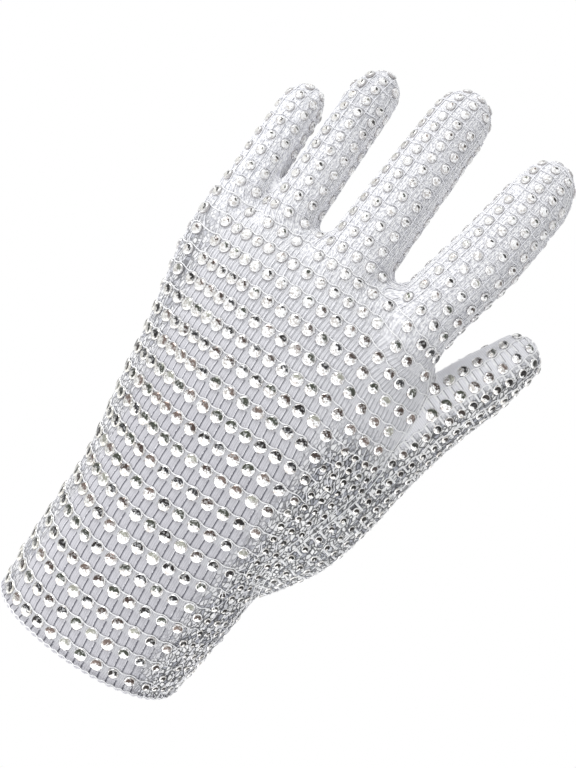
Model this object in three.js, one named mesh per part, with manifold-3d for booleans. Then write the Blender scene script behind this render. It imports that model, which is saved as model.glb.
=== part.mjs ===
// Rhinestone dress glove for the left side, in the rounded form that it has in wear.
// Millimetres. +Z runs from the wrist to the fingertips, +X to the thumb, and -Y out of the
// back of the glove. The origin is the centre of the wrist opening.

import * as THREE from 'three';
import { mergeGeometries, mergeVertices } from 'three/addons/utils/BufferGeometryUtils.js';
import Module from 'manifold-3d';

const wasm = await Module();
wasm.setup();

// Fabric
const WALL = 1.6;
const SEAM_GAP = 0.3;

// Corners that stand out less than this from a smooth surface are merged into it after the cuts
const SLIVER = 0.01;

// Sides of the lofted sections
const BODY_SIDES = 28;
const FINGER_SIDES = 12;
const THUMB_SIDES = 14;
const FINGER_SQUARENESS = 2.15;

// The rolled hem of the wrist opening, and where the panels start above it
const HEM_HEIGHT = 2.8;
const HEM_THICKNESS = 2.8;
const HEM_SIDES = 6;
const PANEL_START = HEM_HEIGHT + SEAM_GAP;

// Path of the middle of the glove's thickness, from the wrist opening to the fingertips.
// arch is how far the two side edges of a section drop towards the palm.
const MIDLINE = [
  { z: 0, x: 0, y: 0, arch: 0 },
  { z: 20, x: 2.1, y: -5.8, arch: 0 },
  { z: 40, x: 4.3, y: -11.6, arch: 1 },
  { z: 60, x: 6.6, y: -17.2, arch: 2 },
  { z: 80, x: 8.3, y: -22.6, arch: 3 },
  { z: 100, x: 8.8, y: -27, arch: 4 },
  { z: 120, x: 6.8, y: -29.3, arch: 5 },
  { z: 140, x: 4.4, y: -30, arch: 5 },
  { z: 160, x: 4, y: -29.3, arch: 5 },
  { z: 180, x: 4, y: -27.3, arch: 5 },
  { z: 200, x: 4, y: -23.8, arch: 5 },
  { z: 220, x: 4, y: -19.9, arch: 5 },
  { z: 240, x: 4, y: -16, arch: 5 },
];
const ARCH_HALF_WIDTH = 48;

// Sections of the body: half width, depth from the midline to the back and to the palm, and
// squareness, which is 2 for an ellipse
const BODY_SECTIONS = [
  { z: 0, half: 35.8, back: 26, palm: 26, square: 2.1 },
  { z: 12, half: 36.8, back: 26, palm: 26, square: 2.1 },
  { z: 26, half: 37.8, back: 25.5, palm: 25.5, square: 2.15 },
  { z: 40, half: 38.2, back: 24.5, palm: 24.5, square: 2.2 },
  { z: 54, half: 39, back: 23, palm: 23.5, square: 2.25 },
  { z: 68, half: 41.9, back: 21, palm: 22.5, square: 2.3 },
  { z: 82, half: 45, back: 19.5, palm: 20.5, square: 2.4 },
  { z: 96, half: 47.6, back: 18, palm: 18.5, square: 2.45 },
  { z: 110, half: 49.2, back: 16.8, palm: 17, square: 2.5 },
  { z: 124, half: 50.2, back: 16, palm: 16, square: 2.5 },
  { z: 138, half: 49.4, back: 14.8, palm: 15, square: 2.5 },
  { z: 150, half: 47, back: 12, palm: 12.6, square: 2.5 },
  { z: 158, half: 44.5, back: 8, palm: 8.5, square: 2.5 },
  { z: 162, half: 42.5, back: 3.5, palm: 3.5, square: 2.5 },
];

// Each finger: its place across the glove, its half width and its half depth up its length.
// Its top row is where the rounded tip starts.
const FINGERS = {
  little: {
    tip: 203.5,
    rows: [
      { z: 104, x: -30, half: 8.5, depth: 11.5 },
      { z: 138, x: -37.2, half: 9.2, depth: 11.2 },
      { z: 165, x: -38.1, half: 8.6, depth: 8.8 },
      { z: 192, x: -40.3, half: 7.8, depth: 7.8 },
    ],
  },
  ring: {
    tip: 221.5,
    rows: [
      { z: 116, x: -17, half: 10, depth: 13 },
      { z: 142, x: -18.4, half: 9.8, depth: 12.6 },
      { z: 166, x: -18.8, half: 9.4, depth: 9.8 },
      { z: 208, x: -20.9, half: 8.5, depth: 8.3 },
    ],
  },
  middle: {
    tip: 231.8,
    rows: [
      { z: 116, x: 9.4, half: 12, depth: 14.2 },
      { z: 142, x: 9.8, half: 12.4, depth: 13.8 },
      { z: 168, x: 9.9, half: 12.2, depth: 11.4 },
      { z: 217, x: 9.2, half: 10.7, depth: 9.8 },
    ],
  },
  index: {
    tip: 227.5,
    rows: [
      { z: 112, x: 33, half: 11.5, depth: 12.5 },
      { z: 138, x: 37.4, half: 12, depth: 13 },
      { z: 163, x: 40.6, half: 12, depth: 11.3 },
      { z: 188, x: 44.8, half: 12, depth: 11 },
      { z: 210, x: 46.5, half: 11, depth: 9.8 },
    ],
  },
};
const FINGER_STEPS = 4;

// Rounded tips: rings up the tip, where the last one lies, and how full its outline is
const TIP_RINGS = 3;
const TIP_LAST_RING = 0.9;
const TIP_FULLNESS = 0.9;

// The thumb, from inside the body to the start of its rounded tip
const THUMB_SECTIONS = [
  { x: 21, y: -6, z: 40, half: 14, depth: 15 },
  { x: 31, y: -9, z: 57, half: 16, depth: 17 },
  { x: 40.5, y: -12, z: 76, half: 18, depth: 17 },
  { x: 46, y: -13, z: 92, half: 16.8, depth: 16.2 },
  { x: 50, y: -13, z: 106, half: 15, depth: 14.8 },
  { x: 57, y: -12.5, z: 129, half: 12.2, depth: 12.5 },
  { x: 65.2, y: -11, z: 151, half: 10.6, depth: 10.6 },
  { x: 69.3, y: -10, z: 162, half: 9, depth: 9.2 },
];
const THUMB_TIP = { x: 71.6, y: -9, z: 172.5 };

// Fourchettes: the side strips between two neighbouring fingers
const FOURCHETTE_HALF = 4.6;
const FOURCHETTE_TOP_HALF = 2.6;
const FOURCHETTE_BASE = 150;
const FOURCHETTE_BELOW_TIP = 9;
const FOURCHETTE_ROWS = 5;
const FOURCHETTE_FROM_CENTRE = 1.5;
const FOURCHETTE_PAST_SIDE = 0.8;

// The cut stones fused to the middle of the back: their size, and the spacing of their grid
const STONE_GIRDLE_RADIUS = 2;
const STONE_TABLE_RADIUS = 1.15;
const STONE_HEIGHT = 1.5;
const STONE_SUNK = 0.5;
const STONE_FLARE = 0.3;
const STONE_FACETS = 8;
const STONE_ROW_PITCH = 7.5;
const STONE_COLUMN_PITCH = 6.4;
const FIRST_STONE_ROW = 56;
const STONE_ROWS = 10;
const STONE_COLUMNS = 9;

// Heights of the body's rings above its lower end. Past WEB_START they close over the webs.
const BODY_RING_HEIGHTS = [22, 42, 60, 76, 94, 114, 132, 145, 154, 159, 162];
const WEB_START = 145;

// The numbers of a table as a smooth function of one of its columns
function smoothTable(rows, key, names) {
  const values = rows.flatMap((row) => names.map((name) => row[name]));
  const interpolant = new THREE.CubicInterpolant(rows.map((row) => row[key]), values, names.length);
  return (at) => {
    const found = interpolant.evaluate(at);
    return Object.fromEntries(names.map((name, i) => [name, found[i]]));
  };
}

const midlineAt = smoothTable(MIDLINE, 'z', ['x', 'y', 'arch']);
const bodyAt = smoothTable(BODY_SECTIONS, 'z', ['half', 'back', 'palm', 'square']);

// Depth of the middle of the glove's thickness at a place across it
function midDepth(x, z) {
  const mid = midlineAt(z);
  const share = (x - mid.x) / ARCH_HALF_WIDTH;
  return mid.y + mid.arch * share * share;
}

// One superellipse outline: u runs to the thumb side, v to the back
function outline(half, back, palm, squareness, sides) {
  const points = [];
  for (let i = 0; i < sides; i += 1) {
    const angle = (2 * Math.PI * i) / sides;
    const u = half * Math.sign(Math.cos(angle)) * Math.abs(Math.cos(angle)) ** (2 / squareness);
    const depth = Math.sin(angle) > 0 ? back : palm;
    const v = depth * Math.sign(Math.sin(angle)) * Math.abs(Math.sin(angle)) ** (2 / squareness);
    points.push([u, v]);
  }
  return points;
}

// Triangle corners of the band between two rings of equal point counts
function band(from, to, sides) {
  const indices = [];
  for (let i = 0; i < sides; i += 1) {
    const j = (i + 1) % sides;
    indices.push(from + i, to + i, from + j);
    indices.push(from + j, to + i, to + j);
  }
  return indices;
}

function indexedGeometry(points, indices) {
  const geometry = new THREE.BufferGeometry();
  geometry.setFromPoints(points);
  geometry.setIndex(indices);
  return geometry;
}

// A closed solid through rings of equal point counts, with a flat fan over each end
function loft(rings) {
  const sides = rings[0].length;
  const points = rings.flat();
  const indices = rings.slice(1).flatMap((_, r) => band(r * sides, (r + 1) * sides, sides));
  const closeEnd = (ring, start, facesUp) => {
    const centre = new THREE.Vector3();
    ring.forEach((point) => centre.addScaledVector(point, 1 / sides));
    const middle = points.push(centre) - 1;
    for (let i = 0; i < sides; i += 1) {
      const here = start + i;
      const next = start + ((i + 1) % sides);
      indices.push(middle, ...(facesUp ? [next, here] : [here, next]));
    }
  };
  closeEnd(rings[0], 0, false);
  closeEnd(rings[rings.length - 1], (rings.length - 1) * sides, true);
  return indexedGeometry(points, indices);
}

// Side and back directions of a section that stands square to a path's direction
function sectionAxes(direction) {
  const towardsBack = new THREE.Vector3(0, -1, 0);
  const side = new THREE.Vector3().crossVectors(direction, towardsBack).normalize();
  const back = new THREE.Vector3().crossVectors(side, direction).normalize();
  return { side, back };
}

// The body's section at a height on the midline, grown or shrunk by an offset and lifted
function bodyRing(z, offset, sides, lift = 0) {
  const below = Math.max(z - 0.5, 0);
  const above = z + 0.5;
  const mid = midlineAt(z);
  const slope = (midlineAt(above).y - midlineAt(below).y) / (above - below);
  const { side, back } = sectionAxes(new THREE.Vector3(0, slope, 1).normalize());
  const size = bodyAt(z);
  const half = size.half + offset;
  const points = outline(half, size.back + offset, size.palm + offset, size.square, sides);
  return points.map(([u, v]) => {
    const drop = mid.arch * (u / ARCH_HALF_WIDTH) ** 2;
    const point = new THREE.Vector3(mid.x, mid.y, z + lift);
    return point.addScaledVector(side, u).addScaledVector(back, v - drop);
  });
}

// The body from its lower end to the webs between the fingers, where it closes
function bodySolid(offset, lowerEnd) {
  const heights = [lowerEnd, ...BODY_RING_HEIGHTS];
  const rings = heights.map((z) => bodyRing(z, offset, BODY_SIDES, z > WEB_START ? offset : 0));
  return solidOf(loft(rings));
}

// A tube round a path of centres with half widths and depths, closed by a rounded tip
function fingerRings(sections, tip, offset, sides) {
  const last = sections[sections.length - 1];
  const tipLength = tip.distanceTo(last.centre) + offset;
  const tipDirection = new THREE.Vector3().subVectors(tip, last.centre).normalize();
  const all = sections.map((section) => ({ ...section }));
  for (let i = 1; i <= TIP_RINGS; i += 1) {
    const turn = (i / TIP_RINGS) * TIP_LAST_RING * (Math.PI / 2);
    const shrink = Math.cos(turn) ** TIP_FULLNESS;
    all.push({
      centre: last.centre.clone().addScaledVector(tipDirection, tipLength * Math.sin(turn)),
      half: (last.half + offset) * shrink - offset,
      depth: (last.depth + offset) * shrink - offset,
    });
  }
  return all.map((section, i) => {
    const before = all[Math.max(i - 1, 0)].centre;
    const after = all[Math.min(i + 1, all.length - 1)].centre;
    const { side, back } = sectionAxes(new THREE.Vector3().subVectors(after, before).normalize());
    const half = section.half + offset;
    const depth = section.depth + offset;
    const points = outline(half, depth, depth, FINGER_SQUARENESS, sides);
    return points.map(([u, v]) => {
      const point = section.centre.clone();
      return point.addScaledVector(side, u).addScaledVector(back, v);
    });
  });
}

function fingerSolid(finger, offset) {
  const rowAt = smoothTable(finger.rows, 'z', ['x', 'half', 'depth']);
  const first = finger.rows[0].z;
  const last = finger.rows[finger.rows.length - 1].z;
  const sections = [];
  for (let i = 0; i <= FINGER_STEPS; i += 1) {
    const z = first + ((last - first) * i) / FINGER_STEPS;
    const row = rowAt(z);
    const centre = new THREE.Vector3(row.x, midDepth(row.x, z), z);
    sections.push({ centre, half: row.half, depth: row.depth });
  }
  const tipX = finger.rows[finger.rows.length - 1].x;
  const tip = new THREE.Vector3(tipX, midDepth(tipX, finger.tip), finger.tip);
  return solidOf(loft(fingerRings(sections, tip, offset, FINGER_SIDES)));
}

function thumbSolid(offset) {
  const sections = THUMB_SECTIONS.map((row) => ({
    centre: new THREE.Vector3(row.x, row.y, row.z),
    half: row.half,
    depth: row.depth,
  }));
  const tip = new THREE.Vector3(THUMB_TIP.x, THUMB_TIP.y, THUMB_TIP.z);
  return solidOf(loft(fingerRings(sections, tip, offset, THUMB_SIDES)));
}

// A closed block over a grid of columns and rows, between two depths at each place.
// place gives a column's x and z at a row, low and high its two y values.
function gridBlock(columns, rows, place, low, high) {
  const points = [];
  for (const depth of [low, high]) {
    for (let r = 0; r < rows; r += 1) {
      for (let c = 0; c < columns; c += 1) {
        const { x, z } = place(c, r);
        points.push(new THREE.Vector3(x, depth(x, z, r), z));
      }
    }
  }
  const highStart = columns * rows;
  const indices = [];
  for (let r = 0; r + 1 < rows; r += 1) {
    for (let c = 0; c + 1 < columns; c += 1) {
      const a = r * columns + c;
      const b = a + 1;
      const d = a + columns;
      const e = d + 1;
      indices.push(a, b, e, a, e, d);
      indices.push(highStart + a, highStart + e, highStart + b);
      indices.push(highStart + a, highStart + d, highStart + e);
    }
  }
  const edge = (a, b) => indices.push(a, highStart + a, highStart + b, a, highStart + b, b);
  for (let c = 0; c + 1 < columns; c += 1) {
    const top = (rows - 1) * columns + c;
    edge(c, c + 1);
    edge(top + 1, top);
  }
  for (let r = 0; r + 1 < rows; r += 1) {
    const left = r * columns;
    const right = left + columns - 1;
    edge(left + columns, left);
    edge(right, right + columns);
  }
  return solidOf(indexedGeometry(points, indices));
}

// Everything on one side of the surface through the middle of the glove's thickness.
// towards is -1 for the back and +1 for the palm.
function halfSpace(towards) {
  const reach = 130;
  const lowest = -40;
  const highest = 250;
  const seamReach = 60;
  const columns = 9;
  const rows = 13;
  const place = (c, r) => ({
    x: THREE.MathUtils.lerp(-reach, reach, c / (columns - 1)),
    z: THREE.MathUtils.lerp(lowest, highest, r / (rows - 1)),
  });
  const seam = (x, z) => {
    const nearX = THREE.MathUtils.clamp(x, -seamReach, seamReach);
    const nearZ = THREE.MathUtils.clamp(z, MIDLINE[0].z, MIDLINE[MIDLINE.length - 1].z);
    return midDepth(nearX, nearZ) + (towards * SEAM_GAP) / 2;
  };
  const far = () => towards * reach;
  const faces = towards < 0 ? [far, seam] : [seam, far];
  return gridBlock(columns, rows, place, ...faces);
}

// The space of the strip between two fingers, from the middle of one to that of the next
function fourchetteBlock(left, right, grow) {
  const heldTable = ({ rows }) => {
    const at = smoothTable(rows, 'z', ['x', 'half']);
    return (z) => at(THREE.MathUtils.clamp(z, rows[0].z, rows[rows.length - 1].z));
  };
  const leftAt = heldTable(left);
  const rightAt = heldTable(right);
  const columns = [
    { top: left.tip, x: (z) => leftAt(z).x + FOURCHETTE_FROM_CENTRE },
    { top: left.tip, x: (z) => leftAt(z).x + leftAt(z).half + FOURCHETTE_PAST_SIDE },
    { top: right.tip, x: (z) => rightAt(z).x - rightAt(z).half - FOURCHETTE_PAST_SIDE },
    { top: right.tip, x: (z) => rightAt(z).x - FOURCHETTE_FROM_CENTRE },
  ];
  const place = (c, r) => {
    const end = columns[c].top - FOURCHETTE_BELOW_TIP + grow;
    const z = THREE.MathUtils.lerp(FOURCHETTE_BASE, end, r / (FOURCHETTE_ROWS - 1));
    return { x: columns[c].x(z), z };
  };
  const half = (r) => {
    const share = (r / (FOURCHETTE_ROWS - 1)) ** 2;
    return THREE.MathUtils.lerp(FOURCHETTE_HALF, FOURCHETTE_TOP_HALF, share) + grow;
  };
  const low = (x, z, r) => midDepth(x, z) - half(r);
  const high = (x, z, r) => midDepth(x, z) + half(r);
  return gridBlock(columns.length, FOURCHETTE_ROWS, place, low, high);
}

// The rolled hem: a rounded section carried round the wrist opening
function hemSolid() {
  const rings = [];
  for (let i = 0; i < HEM_SIDES; i += 1) {
    const turn = (2 * Math.PI * (i + 0.5)) / HEM_SIDES;
    const outward = (HEM_THICKNESS / 2) * Math.cos(turn) - WALL / 2;
    const height = (HEM_HEIGHT / 2) * (1 + Math.sin(turn));
    rings.push(bodyRing(height, outward, BODY_SIDES));
  }
  const indices = rings.flatMap((_, r) => {
    const next = (r + 1) % HEM_SIDES;
    return band(r * BODY_SIDES, next * BODY_SIDES, BODY_SIDES);
  });
  return solidOf(indexedGeometry(rings.flat(), indices));
}

// One cut stone: a low frustum of flat facets under a flat table
function stoneGeometry(point, normal) {
  const height = STONE_HEIGHT + STONE_SUNK;
  const geometry = new THREE.CylinderGeometry(
    STONE_TABLE_RADIUS,
    STONE_GIRDLE_RADIUS + STONE_SUNK * STONE_FLARE,
    height,
    STONE_FACETS,
  );
  geometry.translate(0, height / 2 - STONE_SUNK, 0);
  const turn = new THREE.Quaternion().setFromUnitVectors(new THREE.Vector3(0, 1, 0), normal);
  geometry.applyQuaternion(turn);
  geometry.translate(point.x, point.y, point.z);
  return geometry;
}

// The point of a ring at a distance along it from the middle of the back
function walkRing(ring, distance) {
  const start = ring.length / 4;
  const step = distance > 0 ? -1 : 1;
  let left = Math.abs(distance);
  for (let i = 0; i < ring.length / 2; i += 1) {
    const from = ring[(start + step * i + ring.length) % ring.length];
    const to = ring[(start + step * (i + 1) + ring.length) % ring.length];
    const length = from.distanceTo(to);
    if (left <= length) {
      return from.clone().lerp(to, left / length);
    }
    left -= length;
  }
  return ring[(start + ring.length / 2) % ring.length].clone();
}

// The grid of stones on the middle of the back, as one geometry of separate stones
function stoneField() {
  const stones = [];
  const fineSides = BODY_SIDES * 8;
  for (let row = 0; row < STONE_ROWS; row += 1) {
    const z = FIRST_STONE_ROW + row * STONE_ROW_PITCH;
    const ring = bodyRing(z, 0, fineSides);
    const ringAbove = bodyRing(z + 1, 0, fineSides);
    for (let column = 0; column < STONE_COLUMNS; column += 1) {
      const across = (column - (STONE_COLUMNS - 1) / 2) * STONE_COLUMN_PITCH;
      const point = walkRing(ring, across);
      const before = walkRing(ring, across - 1);
      const after = walkRing(ring, across + 1);
      const along = new THREE.Vector3().subVectors(after, before);
      const up = new THREE.Vector3().subVectors(walkRing(ringAbove, across), point);
      const normal = new THREE.Vector3().crossVectors(along, up).normalize();
      stones.push(stoneGeometry(point, normal));
    }
  }
  return mergeGeometries(stones);
}

// A geometry as a solid, and back
function solidOf(geometry) {
  const bare = geometry.clone();
  bare.deleteAttribute('normal');
  bare.deleteAttribute('uv');
  const merged = mergeVertices(bare, 1e-4);
  return new wasm.Manifold(new wasm.Mesh({
    numProp: 3,
    vertProperties: new Float32Array(merged.attributes.position.array),
    triVerts: new Uint32Array(merged.index.array),
  }));
}

function geometryOf(solid) {
  const { vertProperties, triVerts } = solid.asOriginal().simplify(SLIVER).getMesh();
  const geometry = new THREE.BufferGeometry();
  geometry.setAttribute('position', new THREE.BufferAttribute(vertProperties, 3));
  geometry.setIndex(new THREE.BufferAttribute(triVerts, 1));
  return geometry;
}

function namedMesh(name, solid, material) {
  const mesh = new THREE.Mesh(geometryOf(solid), material);
  mesh.name = name;
  return mesh;
}

const knitFabric = new THREE.MeshStandardMaterial({ color: 0xcfd0dc, roughness: 0.8, metalness: 0 });
const hemFabric = new THREE.MeshStandardMaterial({ color: 0xc3c5d2, roughness: 0.85, metalness: 0 });

// The glove's outside and its hollow, each a union of the body and the fingers
const withFingers = (body, offset) => Object.values(FINGERS).reduce(
  (whole, finger) => whole.add(fingerSolid(finger, offset)),
  body,
);
const outside = withFingers(bodySolid(0, PANEL_START), 0);
const hollow = withFingers(bodySolid(-WALL, 0), -WALL);
const thumbHollow = thumbSolid(-WALL);
const shell = outside.subtract(hollow).subtract(thumbHollow);

// The strips between the fingers, and the space that they take out of the two panels
const STRIPS = [
  ['fourchette_ring_little', FINGERS.little, FINGERS.ring],
  ['fourchette_middle_ring', FINGERS.ring, FINGERS.middle],
  ['fourchette_index_middle', FINGERS.middle, FINGERS.index],
];
const stripSpace = STRIPS
  .map(([, left, right]) => fourchetteBlock(left, right, SEAM_GAP))
  .reduce((whole, block) => whole.add(block));

const backFabric = shell.intersect(halfSpace(-1)).subtract(stripSpace);
const backPanel = backFabric.add(solidOf(stoneField()));
const palmPanel = shell.intersect(halfSpace(1)).subtract(stripSpace);
const clearOfBody = withFingers(bodySolid(SEAM_GAP, 0), SEAM_GAP);
const thumbPanel = thumbSolid(0).subtract(thumbHollow).subtract(clearOfBody);

const glove = new THREE.Group();
glove.add(namedMesh('back_panel', backPanel, knitFabric));
glove.add(namedMesh('palm_panel', palmPanel, knitFabric));
for (const [name, left, right] of STRIPS) {
  glove.add(namedMesh(name, shell.intersect(fourchetteBlock(left, right, 0)), knitFabric));
}
glove.add(namedMesh('thumb_panel', thumbPanel, knitFabric));
glove.add(namedMesh('cuff_hem', hemSolid(), hemFabric));

export default glove;
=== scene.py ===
"""Looks of a rhinestone dress glove: knit panels, net, row threads, cut stones, seams and hem.

The glove keeps the rounded form that it has in wear. Its smooth outer skin is worked out from the
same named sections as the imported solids, cut into its sewn panels, and dressed with rows of stones
that follow the skin. Working sizes here are millimetres, and meshes are made in metres.
"""
import logging
import math
from dataclasses import dataclass, field, replace
from enum import IntEnum
from typing import Sequence

import bpy
import numpy as np
from mathutils import Matrix, Vector
from mathutils.kdtree import KDTree


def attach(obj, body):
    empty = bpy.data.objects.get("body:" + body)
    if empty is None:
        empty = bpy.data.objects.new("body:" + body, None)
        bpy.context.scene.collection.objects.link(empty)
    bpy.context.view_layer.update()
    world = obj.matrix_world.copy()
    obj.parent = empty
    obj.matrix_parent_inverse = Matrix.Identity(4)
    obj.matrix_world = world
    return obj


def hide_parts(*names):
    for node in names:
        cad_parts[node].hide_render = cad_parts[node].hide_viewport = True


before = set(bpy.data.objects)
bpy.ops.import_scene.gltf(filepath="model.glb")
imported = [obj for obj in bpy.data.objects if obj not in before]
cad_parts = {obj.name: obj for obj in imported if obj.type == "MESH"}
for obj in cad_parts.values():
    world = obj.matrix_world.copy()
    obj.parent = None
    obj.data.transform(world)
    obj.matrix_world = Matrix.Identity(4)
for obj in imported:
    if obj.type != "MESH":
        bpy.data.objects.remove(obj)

log = logging.getLogger("glove")

MM = 0.001
BODY_OF_GLOVE = "root"
Socket = bpy.types.NodeSocket


class Part(IntEnum):
    """The tubes that the glove's form is made of."""

    BODY = 0
    LITTLE = 1
    RING = 2
    MIDDLE = 3
    INDEX = 4
    THUMB = 5


FINGERS = (Part.LITTLE, Part.RING, Part.MIDDLE, Part.INDEX)


class SmoothTable:
    """Named columns of numbers as smooth functions of the first column."""

    def __init__(self, names: str, rows: Sequence[Sequence[float]]) -> None:
        """Keeps the table.

        Args:
            names: the column names, of which the first is the one that the others follow.
            rows: the numbers, one row for each place.
        """
        table = np.array(rows, float)
        self.names = names.split()[1:]
        self.at = table[:, 0]
        self.values = table[:, 1:]

    def __call__(self, where: np.ndarray) -> dict[str, np.ndarray]:
        """Reads every column.

        Args:
            where: values of the first column, held to its range.

        Returns:
            The columns by name, each as long as where.
        """
        last = len(self.at) - 1
        where = np.clip(np.asarray(where, float), self.at[0], self.at[-1])
        i = np.clip(np.searchsorted(self.at, where, side="right"), 1, last)
        before = np.where(i >= 2, i - 2, i)
        after = np.where(i < last, i + 1, i - 1)
        start, end = self.at[i - 1], self.at[np.minimum(i, last)]
        half = (end - start) / 2
        lead = (half / (start - self.at[before]))[..., None]
        trail = (half / (self.at[np.clip(after, 0, last)] - end))[..., None]
        p = ((where - start) / (end - start))[..., None]
        p2, p3 = p * p, p * p * p
        found = (
            (-lead * p3 + 2 * lead * p2 - lead * p) * self.values[before]
            + ((1 + lead) * p3 + (-1.5 - 2 * lead) * p2 + (-0.5 + lead) * p + 1) * self.values[i - 1]
            + ((-1 - trail) * p3 + (1.5 + trail) * p2 + 0.5 * p) * self.values[i]
            + (trail * p3 - trail * p2) * self.values[np.clip(after, 0, last)]
        )
        return {name: found[..., k] for k, name in enumerate(self.names)}

    def stations(self, step: float, below: float = 0.0) -> np.ndarray:
        """Evenly spaced places from somewhat below the table's start to its end."""
        return np.arange(self.at[0] - below, self.at[-1] + step / 100, step)


# Path of the middle of the glove's thickness, from the wrist opening to the fingertips.
# arch is how far the two side edges of a section drop towards the palm.
MIDLINE = SmoothTable("z x y arch", (
    (0, 0, 0, 0),
    (20, 2.1, -5.8, 0),
    (40, 4.3, -11.6, 1),
    (60, 6.6, -17.2, 2),
    (80, 8.3, -22.6, 3),
    (100, 8.8, -27, 4),
    (120, 6.8, -29.3, 5),
    (140, 4.4, -30, 5),
    (160, 4, -29.3, 5),
    (180, 4, -27.3, 5),
    (200, 4, -23.8, 5),
    (220, 4, -19.9, 5),
    (240, 4, -16, 5),
))
ARCH_HALF_WIDTH = 48.0

# Sections of the body: half width, depth from the midline to the back and to the palm, and
# squareness, which is 2 for an ellipse
BODY_SECTIONS = SmoothTable("z half back palm square", (
    (0, 35.8, 26, 26, 2.1),
    (12, 36.8, 26, 26, 2.1),
    (26, 37.8, 25.5, 25.5, 2.15),
    (40, 38.2, 24.5, 24.5, 2.2),
    (54, 39, 23, 23.5, 2.25),
    (68, 41.9, 21, 22.5, 2.3),
    (82, 45, 19.5, 20.5, 2.4),
    (96, 47.6, 18, 18.5, 2.45),
    (110, 49.2, 16.8, 17, 2.5),
    (124, 50.2, 16, 16, 2.5),
    (138, 49.4, 14.8, 15, 2.5),
    (150, 47, 12, 12.6, 2.5),
    (158, 44.5, 8, 8.5, 2.5),
    (162, 42.5, 3.5, 3.5, 2.5),
))

# Each finger: its place across the glove, its half width and its half depth up its length.
# Its top row is where the rounded tip starts.
FINGER_TIPS = {Part.LITTLE: 203.5, Part.RING: 221.5, Part.MIDDLE: 231.8, Part.INDEX: 227.5}
FINGER_ROWS = {
    Part.LITTLE: SmoothTable("z x half depth", (
        (104, -30, 8.5, 11.5),
        (138, -37.2, 9.2, 11.2),
        (165, -38.1, 8.6, 8.8),
        (192, -40.3, 7.8, 7.8),
    )),
    Part.RING: SmoothTable("z x half depth", (
        (116, -17, 10, 13),
        (142, -18.4, 9.8, 12.6),
        (166, -18.8, 9.4, 9.8),
        (208, -20.9, 8.5, 8.3),
    )),
    Part.MIDDLE: SmoothTable("z x half depth", (
        (116, 9.4, 12, 14.2),
        (142, 9.8, 12.4, 13.8),
        (168, 9.9, 12.2, 11.4),
        (217, 9.2, 10.7, 9.8),
    )),
    Part.INDEX: SmoothTable("z x half depth", (
        (112, 33, 11.5, 12.5),
        (138, 37.4, 12, 13),
        (163, 40.6, 12, 11.3),
        (188, 44.8, 12, 11),
        (210, 46.5, 11, 9.8),
    )),
}
FINGER_SQUARENESS = 2.15

# Station past which the body's own sections close over the webs
OPEN_FROM = 145.0

# The thumb, from inside the body to the start of its rounded tip
THUMB_SECTIONS = SmoothTable("z x y half depth", (
    (40, 21, -6, 14, 15),
    (57, 31, -9, 16, 17),
    (76, 40.5, -12, 18, 17),
    (92, 46, -13, 16.8, 16.2),
    (106, 50, -13, 15, 14.8),
    (129, 57, -12.5, 12.2, 12.5),
    (151, 65.2, -11, 10.6, 10.6),
    (162, 69.3, -10, 9, 9.2),
))
THUMB_TIP = (71.6, -9.0, 172.5)
TIP_FULLNESS = 0.9

# Fourchettes, the side strips between two neighbouring fingers
FOURCHETTES = (
    ("fourchette_ring_little", Part.LITTLE, Part.RING),
    ("fourchette_middle_ring", Part.RING, Part.MIDDLE),
    ("fourchette_index_middle", Part.MIDDLE, Part.INDEX),
)
FOURCHETTE_HALF = 5.0
FOURCHETTE_TOP_HALF = 3.6
FOURCHETTE_BASE = 150.0
FOURCHETTE_BELOW_TIP = 9.0
FOURCHETTE_FROM_CENTRE = 1.5

# A field that changes by more than this over one triangle wraps round there and isn't read
STEEPEST = 0.9

# Steps in which the length round half of a section is tabulated
ARC_STEPS = 90

# Share of a section's size within which a point counts as on its axis
NEAR_AXIS = 1e-3

# Smallest number that is divided by, and how far past a triangle's edge a point may lie
TINY = 1e-12
EDGE_SLACK = 1e-6


def mid_depth(x: np.ndarray, z: np.ndarray) -> np.ndarray:
    """Depth of the middle of the glove's thickness at places across it."""
    mid = MIDLINE(z)
    return mid["y"] + mid["arch"] * ((x - mid["x"]) / ARCH_HALF_WIDTH) ** 2


def unit(vectors: np.ndarray) -> np.ndarray:
    """Vectors along the last axis, made one long."""
    length = np.linalg.norm(vectors, axis=-1, keepdims=True)
    return vectors / np.maximum(length, TINY)


def divisor(values: np.ndarray) -> np.ndarray:
    """Values to divide by, none of them zero."""
    return np.where(np.abs(values) < TINY, TINY, values)


def smooth_step(low: float, high: float, x: np.ndarray) -> np.ndarray:
    """A ramp from 0 at low to 1 at high, with level ends."""
    t = np.clip((x - low) / (high - low), 0, 1)
    return t * t * (3 - 2 * t)


@dataclass(frozen=True)
class Patch:
    """A soft-edged patch: the product of smooth ramps, each of which follows its own value."""

    ramps: tuple[tuple[float, float], ...]
    most: float = 1.0

    def at(self, *values: np.ndarray) -> np.ndarray:
        """How much of the patch there is where the ramps' values are these."""
        steps = (smooth_step(*ramp, value) for ramp, value in zip(self.ramps, values))
        return math.prod(steps, start=self.most)


@dataclass
class Place:
    """Where points lie on a tube."""

    station: np.ndarray
    side_way: np.ndarray
    back_way: np.ndarray
    distance: np.ndarray
    from_back: np.ndarray
    from_palm: np.ndarray


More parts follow.
